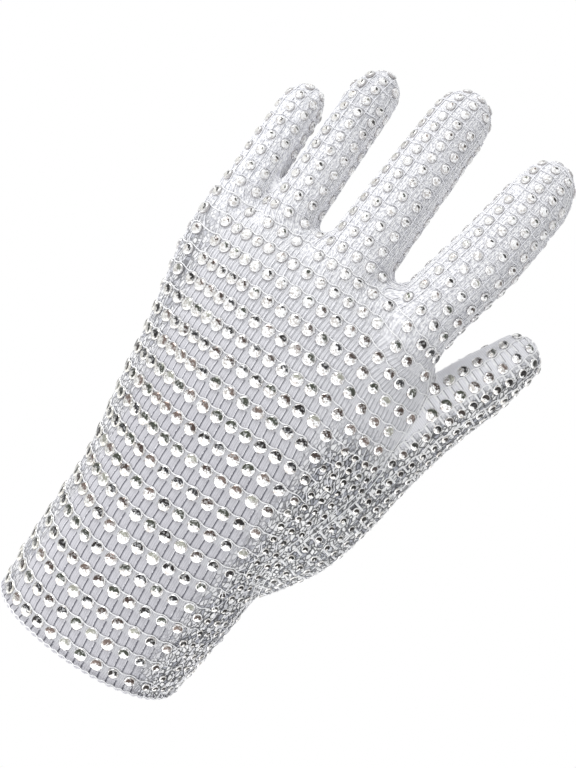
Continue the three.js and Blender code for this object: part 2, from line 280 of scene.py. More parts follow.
@dataclass
class Tube:
    """A run of superellipse sections along a path."""

    stations: np.ndarray
    centres: np.ndarray
    half: np.ndarray
    back: np.ndarray
    palm: np.ndarray
    square: np.ndarray
    arch: np.ndarray
    level_x: bool = False

    def __post_init__(self) -> None:
        """Works out the section axes and the length round each section."""
        ahead = np.gradient(self.centres, axis=0)
        if self.level_x:
            ahead[:, 0] = 0
        self.ahead = unit(ahead)
        self.side = unit(np.cross(self.ahead, np.array([0.0, -1.0, 0.0])))
        self.up = unit(np.cross(self.side, self.ahead))
        self._measure_arcs()

    def _outline(self, across: np.ndarray, up: np.ndarray) -> tuple[np.ndarray, np.ndarray]:
        """Offsets of the places round every section that lie in some directions.

        Args:
            across: the directions' parts towards the thumb's side.
            up: their parts towards the back.

        Returns:
            Offsets aside and towards the back, as (stations, directions).
        """
        power = 2 / self.square[:, None]
        depth = np.where(up > 0, self.back[:, None], self.palm[:, None])
        u = self.half[:, None] * np.sign(across) * np.abs(across) ** power
        return u, depth * np.sign(up) * np.abs(up) ** power

    def _measure_arcs(self) -> None:
        """Tabulates the length round half of each section by the angle from its back."""
        turn = np.linspace(0, math.pi, 2 * ARC_STEPS + 1)
        self.angles = np.linspace(0, math.pi, ARC_STEPS + 1)
        u, v = self._outline(np.sin(turn), np.cos(turn))
        steps = np.hypot(np.diff(u, axis=1), np.diff(v, axis=1))
        run = np.concatenate([np.zeros((len(u), 1)), np.cumsum(steps, axis=1)], axis=1)
        angle = np.arctan2(u, v)
        self.arcs = np.array([np.interp(self.angles, a, r) for a, r in zip(angle, run)])

    def rings(self, sides: int) -> np.ndarray:
        """Points of every section, as (stations, sides, 3)."""
        turn = 2 * math.pi * np.arange(sides) / sides
        u, v = self._outline(np.cos(turn), np.sin(turn))
        v = v - self.arch[:, None] * (u / ARCH_HALF_WIDTH) ** 2
        across = u[..., None] * self.side[:, None, :]
        return self.centres[:, None, :] + across + v[..., None] * self.up[:, None, :]

    def locate(self, points: np.ndarray) -> Place:
        """Finds the station and the place in its section of every point.

        Args:
            points: (n, 3) places in millimetres.

        Returns:
            The stations, offsets, signed distances and lengths round the section.
        """
        reach = (self.centres * self.ahead).sum(1)
        beyond = points @ self.ahead.T - reach
        k = np.clip((beyond >= 0).sum(1) - 1, 0, len(self.stations) - 2)
        rows = np.arange(len(points))
        here, there = beyond[rows, k], beyond[rows, k + 1]
        share = here / divisor(here - there)
        held = np.clip(share, 0, 1)
        gap = np.linalg.norm(self.centres[k + 1] - self.centres[k], axis=1)
        beyond_end = np.abs(share - held) * gap

        def read(values: np.ndarray) -> np.ndarray:
            """A section value between two stations."""
            blend = held if values.ndim == 1 else held[:, None]
            return values[k] * (1 - blend) + values[k + 1] * blend

        station = self.stations[k] + share * (self.stations[k + 1] - self.stations[k])
        rel = points - read(self.centres)
        u = (rel * read(self.side)).sum(1)
        v = (rel * read(self.up)).sum(1) + read(self.arch) * (u / ARCH_HALF_WIDTH) ** 2
        half = np.maximum(read(self.half), 0.5)
        depth = np.maximum(np.where(v > 0, read(self.back), read(self.palm)), 0.5)
        square = read(self.square)
        rho = (np.abs(u / half) ** square + np.abs(v / depth) ** square) ** (1 / square)
        radius = np.hypot(u, v)
        distance = np.maximum(radius - radius / np.maximum(rho, NEAR_AXIS), beyond_end)
        angle = np.arctan2(np.abs(u), v) / math.pi * (len(self.angles) - 1)
        j = np.clip(angle.astype(int), 0, len(self.angles) - 2)
        part = angle - j
        low = self.arcs[k, j] * (1 - part) + self.arcs[k, j + 1] * part
        high = self.arcs[k + 1, j] * (1 - part) + self.arcs[k + 1, j + 1] * part
        arc = low * (1 - held) + high * held
        whole = self.arcs[k, -1] * (1 - held) + self.arcs[k + 1, -1] * held
        sign = np.where(u < 0, -1.0, 1.0)
        return Place(station, u, v, distance, sign * arc, sign * (whole - arc))


@dataclass
class GloveForm:
    """The glove's form as tubes: the body, four fingers and the thumb."""

    step: float = 1.0
    below_opening: float = 12.0
    tip_rings: int = 14
    tip_turn: float = 0.97
    tubes: dict[Part, Tube] = field(default_factory=dict)
    open_body: Tube = None

    def build(self) -> "GloveForm":
        """Makes every tube, and the body once more with an open end, for the stones' columns."""
        self.tubes[Part.BODY] = self._body(np.inf)
        self.open_body = self._body(OPEN_FROM)
        for part in FINGERS:
            self.tubes[part] = self._finger(part)
        self.tubes[Part.THUMB] = self._thumb()
        return self

    def _body(self, held_from: float) -> Tube:
        """The body, carried on below the wrist opening so that it can be cut there.

        Args:
            held_from: the station from which the sections no longer change.
        """
        z = BODY_SECTIONS.stations(self.step, self.below_opening)
        mid = MIDLINE(z)
        low = MIDLINE(np.array([0.0, 1.0]))
        under = np.minimum(z, 0)
        x = mid["x"] + under * (low["x"][1] - low["x"][0])
        y = mid["y"] + under * (low["y"][1] - low["y"][0])
        size = BODY_SECTIONS(np.minimum(z, held_from))
        centres = np.stack([x, y, z], axis=1)
        return Tube(
            z, centres, size["half"], size["back"], size["palm"], size["square"], mid["arch"],
            level_x=True,
        )

    def _with_tip(
        self, centres: np.ndarray, half: np.ndarray, depth: np.ndarray, tip: np.ndarray
    ) -> Tube:
        """A finger's tube with its rounded tip."""
        way = tip - centres[-1]
        turn = np.linspace(0, self.tip_turn * math.pi / 2, self.tip_rings + 1)[1:]
        shrink = np.cos(turn) ** TIP_FULLNESS
        centres = np.concatenate([centres, centres[-1] + way * np.sin(turn)[:, None]])
        half = np.concatenate([half, half[-1] * shrink])
        depth = np.concatenate([depth, depth[-1] * shrink])
        flat = np.zeros(len(half))
        square = np.full(len(half), FINGER_SQUARENESS)
        return Tube(centres[:, 2].copy(), centres, half, depth, depth, square, flat)

    def _finger(self, part: Part) -> Tube:
        """One finger from its root inside the body to its tip."""
        table = FINGER_ROWS[part]
        z = table.stations(self.step)
        row = table(z)
        centres = np.stack([row["x"], mid_depth(row["x"], z), z], axis=1)
        tip_x = row["x"][-1]
        tip_z = FINGER_TIPS[part]
        tip = np.array([tip_x, float(mid_depth(np.array(tip_x), np.array(tip_z))), tip_z])
        return self._with_tip(centres, row["half"], row["depth"], tip)

    def _thumb(self) -> Tube:
        """The thumb from its root inside the body to its tip."""
        z = THUMB_SECTIONS.stations(self.step)
        row = THUMB_SECTIONS(z)
        centres = np.stack([row["x"], row["y"], z], axis=1)
        tube = self._with_tip(centres, row["half"], row["depth"], np.array(THUMB_TIP))
        steps = np.linalg.norm(np.diff(tube.centres, axis=0), axis=1)
        tube.stations = np.concatenate([[0.0], np.cumsum(steps)])
        return tube


def add_object(name: str, data: bpy.types.ID) -> bpy.types.Object:
    """A new object in the scene."""
    obj = bpy.data.objects.new(name, data)
    bpy.context.scene.collection.objects.link(obj)
    return obj


def mesh_object(
    name: str, vertices: np.ndarray, faces: Sequence[Sequence[int]] = (), edges: Sequence[Sequence[int]] = ()
) -> bpy.types.Object:
    """A new mesh object at the origin.

    Args:
        name: the object's name.
        vertices: (n, 3) places in millimetres.
        faces: corner indices of each face.
        edges: loose edges.

    Returns:
        The object, linked to the scene.
    """
    mesh = bpy.data.meshes.new(name)
    faces = np.asarray(faces, np.int32)
    mesh.vertices.add(len(vertices))
    mesh.vertices.foreach_set("co", (np.asarray(vertices, float) * MM).astype(np.float32).ravel())
    if len(faces):
        mesh.loops.add(faces.size)
        mesh.loops.foreach_set("vertex_index", faces.ravel())
        mesh.polygons.add(len(faces))
        starts = np.arange(0, faces.size, faces.shape[1], dtype=np.int32)
        mesh.polygons.foreach_set("loop_start", starts)
    if len(edges):
        mesh.edges.add(len(edges))
        mesh.edges.foreach_set("vertices", np.asarray(edges, np.int32).ravel())
    mesh.update(calc_edges=True)
    return add_object(name, mesh)


def store(obj: bpy.types.Object, **values: np.ndarray) -> None:
    """Keeps numbers or vectors at an object's vertices under their names."""
    for name, array in values.items():
        kind, key = ("FLOAT", "value") if array.ndim == 1 else ("FLOAT_VECTOR", "vector")
        attribute = obj.data.attributes.new(name, kind, "POINT")
        attribute.data.foreach_set(key, array.astype(np.float32).ravel())


def store_net_place(obj: bpy.types.Object, corners: np.ndarray) -> None:
    """Keeps the column and row at every corner of an object's faces."""
    uv = obj.data.uv_layers.new(name="net")
    uv.data.foreach_set("uv", corners.astype(np.float32).ravel())


def edges_of(triangles: np.ndarray) -> tuple[np.ndarray, np.ndarray]:
    """Each edge of some triangles once, and how many of them have it."""
    pairs = np.concatenate([triangles[:, [0, 1]], triangles[:, [1, 2]], triangles[:, [2, 0]]])
    return np.unique(np.sort(pairs, axis=1), axis=0, return_counts=True)


def search_tree(points: np.ndarray) -> KDTree:
    """A tree that finds the points near a place."""
    tree = KDTree(len(points))
    for i, point in enumerate(points):
        tree.insert(point, i)
    tree.balance()
    return tree


def discard(obj: bpy.types.Object) -> None:
    """Removes a helper object and its mesh."""
    mesh = obj.data
    bpy.data.objects.remove(obj)
    bpy.data.meshes.remove(mesh)


def applied(obj: bpy.types.Object) -> bpy.types.Object:
    """Turns an object's modifiers into its plain mesh."""
    depsgraph = bpy.context.evaluated_depsgraph_get()
    depsgraph.update()
    mesh = bpy.data.meshes.new_from_object(obj.evaluated_get(depsgraph), depsgraph=depsgraph)
    mesh.name = obj.name
    old = obj.data
    obj.modifiers.clear()
    obj.data = mesh
    bpy.data.meshes.remove(old)
    return obj


@dataclass
class Skin:
    """The glove's smooth outer skin as triangles, with the fields that its pattern follows."""

    form: GloveForm
    voxel: float = 0.85
    even_rounds: int = 12
    even_weight: float = 0.5
    crease_rounds: int = 40
    crease_weight: float = 0.6
    crease_reach: float = 7.0
    crease_from: float = 35.0
    opening_lift: float = 1.4
    sides: int = 96
    vertices: np.ndarray = None
    triangles: np.ndarray = None
    fields: dict[str, np.ndarray] = field(default_factory=dict)

    def build(self) -> "Skin":
        """Joins the tubes to one skin, smooths it and opens it at the wrist."""
        raw = self._union()
        self.vertices, self.triangles = self._triangles_of(raw)
        discard(raw)
        self._smooth()
        self._open_wrist()
        return self

    def _union(self) -> bpy.types.Object:
        """All tubes as one closed mesh without inner walls."""
        points, faces, start = [], [], 0
        n = self.sides
        i = np.arange(n)
        j = (i + 1) % n
        for tube in self.form.tubes.values():
            rings = tube.rings(n)
            row = start + n * np.arange(len(rings) - 1)[:, None]
            wall = np.stack([row + i, row + n + i, row + n + j, row + j], axis=-1).reshape(-1, 4)
            top, end = start + (len(rings) - 1) * n, start + len(rings) * n
            bottom = np.stack([np.full(n, end), start + i, start + j, start + j], axis=1)
            lid = np.stack([np.full(n, end + 1), top + j, top + i, top + i], axis=1)
            faces += [wall, bottom, lid]
            points += [rings.reshape(-1, 3), np.stack([rings[0].mean(0), rings[-1].mean(0)])]
            start = end + 2
        quads = np.concatenate(faces)
        triangles = np.concatenate([quads[:, [0, 1, 2]], quads[:, [0, 2, 3]]])
        triangles = triangles[triangles[:, 1] != triangles[:, 2]]
        obj = mesh_object("skin_source", np.concatenate(points), triangles)
        remesh = obj.modifiers.new("union", "REMESH")
        remesh.mode = "VOXEL"
        remesh.voxel_size = self.voxel * MM
        remesh.adaptivity = 0
        return applied(obj)

    @staticmethod
    def _triangles_of(obj: bpy.types.Object) -> tuple[np.ndarray, np.ndarray]:
        """A mesh's places in millimetres and its triangles."""
        mesh = obj.data
        vertices = np.zeros(len(mesh.vertices) * 3, np.float32)
        mesh.vertices.foreach_get("co", vertices)
        mesh.calc_loop_triangles()
        triangles = np.zeros(len(mesh.loop_triangles) * 3, np.int32)
        mesh.loop_triangles.foreach_get("vertices", triangles)
        return vertices.reshape(-1, 3).astype(float) / MM, triangles.reshape(-1, 3)

    def spread(self, values: np.ndarray, rounds: int, weight: np.ndarray | float) -> np.ndarray:
        """Evens out values between neighbouring vertices.

        Args:
            values: one number or vector for each vertex.
            rounds: how many times to do it.
            weight: how far each vertex moves to its neighbours' mean, from 0 to 1.

        Returns:
            The evened values.
        """
        a, b = edges_of(self.triangles)[0].T
        count = np.bincount(np.concatenate([a, b]), minlength=len(values))[:, None]
        flat = values.ndim == 1
        values = values.reshape(len(values), -1).astype(float)
        weight = np.broadcast_to(np.asarray(weight, float).reshape(-1, 1), (len(values), 1))
        for _ in range(rounds):
            total = np.stack([
                np.bincount(a, values[b, c], len(values)) + np.bincount(b, values[a, c], len(values))
                for c in range(values.shape[1])
            ], axis=1)
            values = values + weight * (total / np.maximum(count, 1) - values)
        return values[:, 0] if flat else values

    def _smooth(self) -> None:
        """Evens out the voxel steps, and rounds the creases where tubes meet."""
        self.vertices = self.spread(self.vertices, self.even_rounds, self.even_weight)
        tubes = self.form.tubes.values()
        nearest, second, *_ = np.sort([np.abs(tube.locate(self.vertices).distance) for tube in tubes], axis=0)
        near = np.clip(1 - (second - nearest) / self.crease_reach, 0, 1)
        near = near * (self.vertices[:, 2] > self.crease_from)
        self.vertices = self.spread(self.vertices, self.crease_rounds, near * self.crease_weight)

    def _open_wrist(self) -> None:
        """Cuts the skin square to its path just above the hem's lower edge."""
        body = self.form.tubes[Part.BODY]
        k = int(np.argmin(np.abs(body.stations)))
        above = (self.vertices - body.centres[k]) @ body.ahead[k]
        self.fields["above_opening"] = above - self.opening_lift
        self.split("above_opening")
        self.keep(self.middle("above_opening") > 0)

    def keep(self, mask: np.ndarray) -> None:
        """Keeps some triangles and the vertices that they use."""
        triangles = self.triangles[mask]
        used, inverse = np.unique(triangles, return_inverse=True)
        self.triangles = inverse.reshape(-1, 3)
        self.vertices = self.vertices[used]
        self.fields = {name: values[..., used] for name, values in self.fields.items()}

    def middle(self, name: str) -> np.ndarray:
        """A field's mean over each triangle."""
        return self.fields[name][self.triangles].mean(1)

    def split(self, name: str, snap: float = 0.12) -> None:
        """Cuts the triangles along the zero line of a field.

        Args:
            name: the field.
            snap: vertices with a smaller value count as on the line.
        """
        values = self.fields[name]
        values[np.abs(values) < snap] = 0
        sign = np.sign(values)
        crossed = (sign[self.triangles].min(1) < 0) & (sign[self.triangles].max(1) > 0)
        base = len(self.vertices)
        crossings: dict[tuple[int, int], int] = {}

        def between(i: int, j: int) -> int:
            """The vertex where the line crosses an edge."""
            return crossings.setdefault((min(i, j), max(i, j)), base + len(crossings))

        made = []
        for triangle in self.triangles[crossed].tolist():
            signs = [sign[v] for v in triangle]
            k = signs.index(-sum(signs))
            tip, a, b = triangle[k], triangle[k - 2], triangle[k - 1]
            if sign[tip] == 0:
                m = between(a, b)
                made += [(tip, a, m), (tip, m, b)]
            else:
                m, n = between(tip, a), between(tip, b)
                made += [(tip, m, n), (m, a, b), (m, b, n)]
        if not made:
            return
        i, j = np.array(list(crossings)).T
        share = values[i] / (values[i] - values[j])

        def add(old: np.ndarray) -> np.ndarray:
            """Values of the new vertices behind the old ones."""
            new = old[..., i] * (1 - share) + old[..., j] * share
            return np.concatenate([old, new], axis=-1)

        self.vertices = add(self.vertices.T).T
        self.fields = {key: add(old) for key, old in self.fields.items()}
        self.fields[name][base:] = 0
        self.triangles = np.concatenate([self.triangles[~crossed], np.array(made)])

    def normals(self) -> np.ndarray:
        """Outward directions at the vertices."""
        a, b, c = (self.vertices[self.triangles[:, k]] for k in range(3))
        face = np.cross(b - a, c - a)
        total = np.stack([
            sum(np.bincount(self.triangles[:, k], face[:, axis], len(self.vertices)) for k in range(3))
            for axis in range(3)
        ], axis=1)
        return unit(total)


@dataclass
class StoneGrid:
    """Rows and columns that the stones, net and threads keep to, as smooth fields on the skin.

    A row field grows by one from one row of stones to the next towards the fingertips, and a
    column field by one from column to column towards the thumb. Tables hold pairs of a station and
    a value. A ramp is the two places where it starts and ends.
    """

    form: GloveForm
    first_row: float = 5.2
    row_range: tuple[float, float] = (-20.0, 260.0)
    row_step: float = 0.25
    row_pitch: tuple = (
        (0, 8.3), (25, 8.2), (50, 8.25), (75, 8.1), (100, 7.65), (120, 7.45), (145, 7.1),
        (165, 6.3), (185, 5.9), (200, 5.1), (215, 4.6), (245, 4.4),
    )
    column_pitch: tuple = ((0, 6.4), (60, 6.25), (100, 5.9), (127, 5.6), (150, 5.75))
    column_start: tuple = ((0, 8.3), (50, 0.1), (102, -4.5), (127, -2.7), (141, -1.3))
    closer_share: float = 0.22
    closer_past: float = 18.0
    closer_up: tuple[float, float] = (20.0, 60.0)
    finger_pitch: float = 6.1
    finger_start: dict = field(default_factory=lambda: dict(zip(FINGERS, (-0.9, -4.9, -3.6, 0.2))))
    finger_first: dict = field(default_factory=lambda: dict(zip(FINGERS, (-7, -4, 1, 6))))
    blend: tuple[float, float] = (140.0, 165.0)
    owner_blur: float = 1.5
    thumb_pitch: tuple[float, float] = (6.8, 5.6)
    thumb_start: float = 2.0
    thumb_bare_row: float = -1.12
    drop: tuple = ((77, 0), (86, 1.5), (94, 2), (102, 3.7), (118, 5), (170, 5))
    drop_across: tuple[float, float] = (30.0, 49.0)
    far_rise: tuple = ((0, 0), (45, -3.5), (75, -2.2), (100, -0.5), (115, 0.4), (150, 0.4))
    far_across: Patch = Patch(((-84, -60), (-6, -40)))
    far_turn: tuple = ((0, 25), (60, 29), (110, 34))
    thumb_half: tuple = ((0, 15), (130, 9))
    index_tilt: float = 0.08
    index_lift: float = 2.5
    index_seam: tuple[float, float] = (38.0, 46.0)
    index_seam_shift: float = 5.0
    fine_rows: tuple[float, float] = (16.0, 20.0)
    below_thumb: Patch = Patch(((23, 42), (78, 62), (122, 96)))
    far_side: Patch = Patch(((0, -8), (-70, -58)), 0.49)
    thumb_root: Patch = Patch(((62, 34), (3, -3)))
    thumb_root_back: Patch = Patch(((-8, 4),), 0.7)
    thumb_root_least: float = 0.3
    thumb_palm: Patch = Patch(((0.3, 0.8), (1, -2)), 0.75)
    beside_finger: Patch = Patch(((0.35, 0.9), (135, 165), (-1, 2), (-44, -30)), 0.42)
    # Painted light: the light field rises past the knuckles, sooner towards the thumb's side, with more on the
    # little finger and the thumb
    painted_light_up: tuple[float, float] = (84.0, 150.0)
    painted_light_slant: float = 0.3
    painted_light_from: float = 5.0
    little_painted_light: Patch = Patch(((-28, -33), (140, 158)), 0.5)
    thumb_painted_light: float = 1.3

    def rows_at(self, station: np.ndarray) -> np.ndarray:
        """Row field at stations of the body or a finger."""
        z = np.arange(*self.row_range, self.row_step)
        rows = np.concatenate([[0.0], np.cumsum(self.row_step / self.read(self.row_pitch, z)[:-1])])
        return np.interp(station, z, rows) - np.interp(self.first_row, z, rows)

    def pitch_of_row(self, row: np.ndarray) -> np.ndarray:
        """Row pitch at a row of the body or a finger."""
        z = np.arange(*self.row_range, 2 * self.row_step)
        return self.read(self.row_pitch, np.interp(row, self.rows_at(z), z))

    @staticmethod
    def read(table: tuple, where: np.ndarray) -> np.ndarray:
        """A value from a table of places and values."""
        return np.interp(where, *np.array(table, float).T)

    def fields(self, points: np.ndarray) -> dict[str, np.ndarray]:
        """Works out every field that the panels and patterns need.

        Args:
            points: (n, 3) places on the skin.

        Returns:
            Fields by name, one value for each point.
        """
        x, y, z = points.T
        body = self.form.open_body.locate(points)
        arc = body.from_back
        drop = self.read(self.drop, z) * smooth_step(*self.drop_across, x)
        station = body.station + drop + self.read(self.far_rise, z) * self.far_across.at(arc, arc)
        pitch = self.read(self.column_pitch, z)
        closer = self.closer_share * np.minimum(arc + self.closer_past, 0) * smooth_step(*self.closer_up, z)
        back = (arc + closer - self.read(self.column_start, z)) / pitch
        finger, turned, nearest = self._on_fingers(points)
        share = smooth_step(*self.blend, z)
        body_fields = np.stack([station, back, body.from_palm / pitch])
        station, back, palm = body_fields * (1 - share) + finger * share
        thumb = self.form.tubes[Part.THUMB].locate(points)
        closed = self.form.tubes[Part.BODY].locate(points)
        thumb_edge = thumb.distance - np.minimum(closed.distance, nearest)
        across, along = self.thumb_pitch
        thumb_back = (thumb.from_back - self.thumb_start) / across
        rows = self.rows_at(station)
        seam_shift = self.index_seam_shift * share * smooth_step(*self.index_seam, x)
        return {
            "row": rows,
            "row_pitch": self.read(self.row_pitch, station),
            "column_back": back,
            "column_palm": palm,
            "column_pitch": pitch * (1 - share) + self.finger_pitch * share,
            "thumb_row": thumb.station / along,
            "thumb_back": np.maximum(thumb_back, self.thumb_bare_row),
            "thumb_palm": thumb.from_palm / across,
            "thumb_arc": thumb.from_back,
            "thumb_side": thumb.back_way,
            "thumb_edge": thumb_edge,
            "gather": self._gather(points, arc, turned, thumb, thumb_edge),
            "light": self._painted_light(points, thumb_edge),
            "fine": np.where(thumb_edge < 0, 0.0, smooth_step(*self.fine_rows, rows)),
            "body_arc": arc,
            "side_edge": y - mid_depth(x, z) + seam_shift,
            **self._strip_edges(x, y, z),
        }

    def _on_fingers(self, points: np.ndarray) -> tuple[np.ndarray, np.ndarray, np.ndarray]:
        """Fields of the fingers, evened out where two fingers are as near.

        Args:
            points: (n, 3) places on the skin.

        Returns:
            Station with both columns as (3, n), the place across the finger in half widths, and
            the distance to the nearest finger.
        """
        gaps, sides, found = [], [], []
        for part in FINGERS:
            place = self.form.tubes[part].locate(points)
            tilt, lift = (self.index_tilt, self.index_lift) if part is Part.INDEX else (0.0, 0.0)
            first = self.finger_first[part]
            gaps.append(place.distance)
            sides.append(place.side_way / FINGER_ROWS[part](points[:, 2])["half"])
            found.append([
                place.station + tilt * place.side_way + lift,
                (place.from_back - self.finger_start[part]) / self.finger_pitch + first,
                place.from_palm / self.finger_pitch + first,
            ])
        nearest = np.min(gaps, axis=0)
        near = np.exp((nearest - np.array(gaps)) / self.owner_blur)
        near /= near.sum(0)
        return (np.array(found) * near[:, None, :]).sum(0), (np.array(sides) * near).sum(0), nearest

    def _gather(
        self, points: np.ndarray, arc: np.ndarray, turned: np.ndarray, thumb: Place, thumb_edge: np.ndarray
    ) -> np.ndarray:
        """How gathered the net is, from 0 to 1.

        It is gathered on the body's side below the thumb, on its other side, at the thumb's root,
        on the thumb's palm side and on the thumb side of every finger.

        Args:
            points: (n, 3) places on the skin.
            arc: the length round the body from the middle of its back.
            turned: the place across the finger in half widths.
            thumb: the places on the thumb.
            thumb_edge: below zero on the thumb.

        Returns:
            The share for each point.
        """
        x, _, z = points.T
        root = self.thumb_root.at(thumb.station, thumb_edge)
        thumb_turned = thumb.side_way / self.read(self.thumb_half, thumb.station)
        return np.max([
            self.below_thumb.at(arc, arc, z),
            self.far_side.at(arc + self.read(self.far_turn, z), arc),
            root * (self.thumb_root_least + self.thumb_root_back.at(thumb.back_way)),
            self.thumb_palm.at(thumb_turned, thumb_edge),
            self.beside_finger.at(turned, z, thumb_edge, x),
        ], axis=0)

    def _painted_light(self, points: np.ndarray, thumb_edge: np.ndarray) -> np.ndarray:
        """How much painted light lifts the knit's colour: 0 at the cuff, 1 past the knuckles and more on the
        thumb.
        """
        x, _, z = points.T
        slant = self.painted_light_slant * np.maximum(x - self.painted_light_from, 0)
        light = smooth_step(*self.painted_light_up, z + slant) + self.little_painted_light.at(x, z)
        return np.where(thumb_edge < 0, self.thumb_painted_light, light)

    @staticmethod
    def _strip_edges(x: np.ndarray, y: np.ndarray, z: np.ndarray) -> dict[str, np.ndarray]:
        """For each fourchette a field that is below zero on it."""
        out = {}
        for name, left, right in FOURCHETTES:
            a, b = FINGER_ROWS[left](z), FINGER_ROWS[right](z)
            low = a["x"] + FOURCHETTE_FROM_CENTRE
            high = b["x"] - FOURCHETTE_FROM_CENTRE
            share = np.clip((x - low) / (high - low), 0, 1)
            top = FINGER_TIPS[left] * (1 - share) + FINGER_TIPS[right] * share - FOURCHETTE_BELOW_TIP
            up = np.clip((z - FOURCHETTE_BASE) / (top - FOURCHETTE_BASE), 0, 1)
            half = FOURCHETTE_HALF + (FOURCHETTE_TOP_HALF - FOURCHETTE_HALF) * up ** 2
            depth = np.abs(y - mid_depth(x, z)) - half
            out[name] = np.max([depth, FOURCHETTE_BASE - z, z - top, low - x, x - high], axis=0)
        return out


@dataclass
class Panel:
    """One sewn panel of the skin, with its row and column at each triangle corner."""

    name: str
    vertices: np.ndarray
    normals: np.ndarray
    triangles: np.ndarray
    row: np.ndarray
    column: np.ndarray
    row_pitch: np.ndarray
    column_pitch: np.ndarray
    is_thumb: bool = False
    gather: np.ndarray = None
    light: np.ndarray = None
    fine: np.ndarray = None

    def boundary(self) -> np.ndarray:
        """Edges that only one triangle has."""
        edges, count = edges_of(self.triangles)
        return edges[count == 1]

    def area(self) -> float:
        """Area in square metres."""
        a, b, c = (self.vertices[self.triangles[:, k]] for k in range(3))
        return float(np.linalg.norm(np.cross(b - a, c - a), axis=1).sum() / 2 * MM * MM)

    def lines(self, values: np.ndarray, other: np.ndarray) -> "Lines":
        """Lines where a corner field passes a whole number.

        Args:
            values: the field at each triangle's corners.
            other: a second corner field, which is read along the lines.

        Returns:
            The lines as short joined segments.
        """
        low, high = values.min(1), values.max(1)
        level = np.ceil(low)
        below = values < level[:, None]
        crosses = below != np.roll(below, -1, axis=1)
        hit = (level < high) & (high - low < STEEPEST) & (crosses.sum(1) == 2)
        t, v, o, level, crosses = (a[hit] for a in (self.triangles, values, other, level, crosses))
        a = np.concatenate([np.argmax(crosses, axis=1), 2 - np.argmax(crosses[:, ::-1], axis=1)])
        b = (a + 1) % 3
        rows = np.tile(np.arange(len(t)), 2)
        swap = t[rows, a] > t[rows, b]
        a, b = np.where(swap, b, a), np.where(swap, a, b)
        level = np.tile(level, 2)
        va, vb = v[rows, a], v[rows, b]
        share = (level - va) / np.where(vb == va, 1, vb - va)
        seen = o[rows, a] * (1 - share) + o[rows, b] * share
        i, j = t[rows, a], t[rows, b]
        key = i.astype(np.int64) * len(self.vertices) + j
        _, index, inverse = np.unique(key, return_index=True, return_inverse=True)
        i, j, share, seen, level = (a[index] for a in (i, j, share[:, None], seen, level))
        points = self.vertices[i] * (1 - share) + self.vertices[j] * share
        normals = unit(self.normals[i] * (1 - share) + self.normals[j] * share)
        segments = inverse.reshape(2, -1).T
        return Lines(points, normals, segments[segments[:, 0] != segments[:, 1]], seen, level)

    def crossings(self, rows: float = 1.0, columns: float = 1.0) -> tuple[np.ndarray, ...]:
        """Places where a row meets a column.

        Args:
            rows: how many times closer the rows are than the field's own.
            columns: the same for the columns.

        Returns:
            Points, normals, and how far the net is gathered there.
        """
        row, column = self.row * rows, self.column * columns
        k, c = np.ceil(row.min(1)), np.ceil(column.min(1))
        hit = (k <= row.max(1)) & (c <= column.max(1))
        hit &= (np.ptp(row, axis=1) < STEEPEST) & (np.ptp(column, axis=1) < STEEPEST)
        t, row, column, k, c = self.triangles[hit], row[hit], column[hit], k[hit], c[hit]
        (r1, c1), (r2, c2) = ((row[:, n] - row[:, 0], column[:, n] - column[:, 0]) for n in (1, 2))
        up, along = k - row[:, 0], c - column[:, 0]
        det = divisor(r1 * c2 - c1 * r2)
        b = (up * c2 - along * r2) / det
        g = (r1 * along - c1 * up) / det
        inside = (b >= -EDGE_SLACK) & (g >= -EDGE_SLACK) & (b + g <= 1 + EDGE_SLACK)
        t, b, g = t[inside], b[inside], g[inside]
        share = np.stack([1 - b - g, b, g], axis=1)
        points, normals = ((at[t] * share[..., None]).sum(1) for at in (self.vertices, self.normals))
        return points, unit(normals), (self.gather[t] * share).sum(1)


@dataclass
class Lines:
    """Joined segments on the skin."""

    points: np.ndarray
    normals: np.ndarray
    segments: np.ndarray
    other: np.ndarray
    level: np.ndarray

    def only(self, mask: np.ndarray) -> "Lines":
        """The segments whose two ends are both kept."""
        keep = mask[self.segments].all(1)
        used, inverse = np.unique(self.segments[keep], return_inverse=True)
        return Lines(
            self.points[used], self.normals[used], inverse.reshape(-1, 2),
            self.other[used], self.level[used],
        )

    def lifted(self, height: np.ndarray | float) -> "Lines":
        """The lines moved outwards."""
        height = np.broadcast_to(np.asarray(height, float), len(self.points))[:, None]
        return replace(self, points=self.points + self.normals * height)


def linear(code: str) -> tuple[float, float, float, float]:
    """Turns an sRGB hex value into a linear colour.

    Args:
        code: six hex digits.

    Returns:
        Red, green, blue and an alpha of one.
    """
    out = []
    for start in (0, 2, 4):
        value = int(code[start:start + 2], 16) / 255
        out.append(value / 12.92 if value <= 0.04045 else ((value + 0.055) / 1.055) ** 2.4)
    return (*out, 1.0)


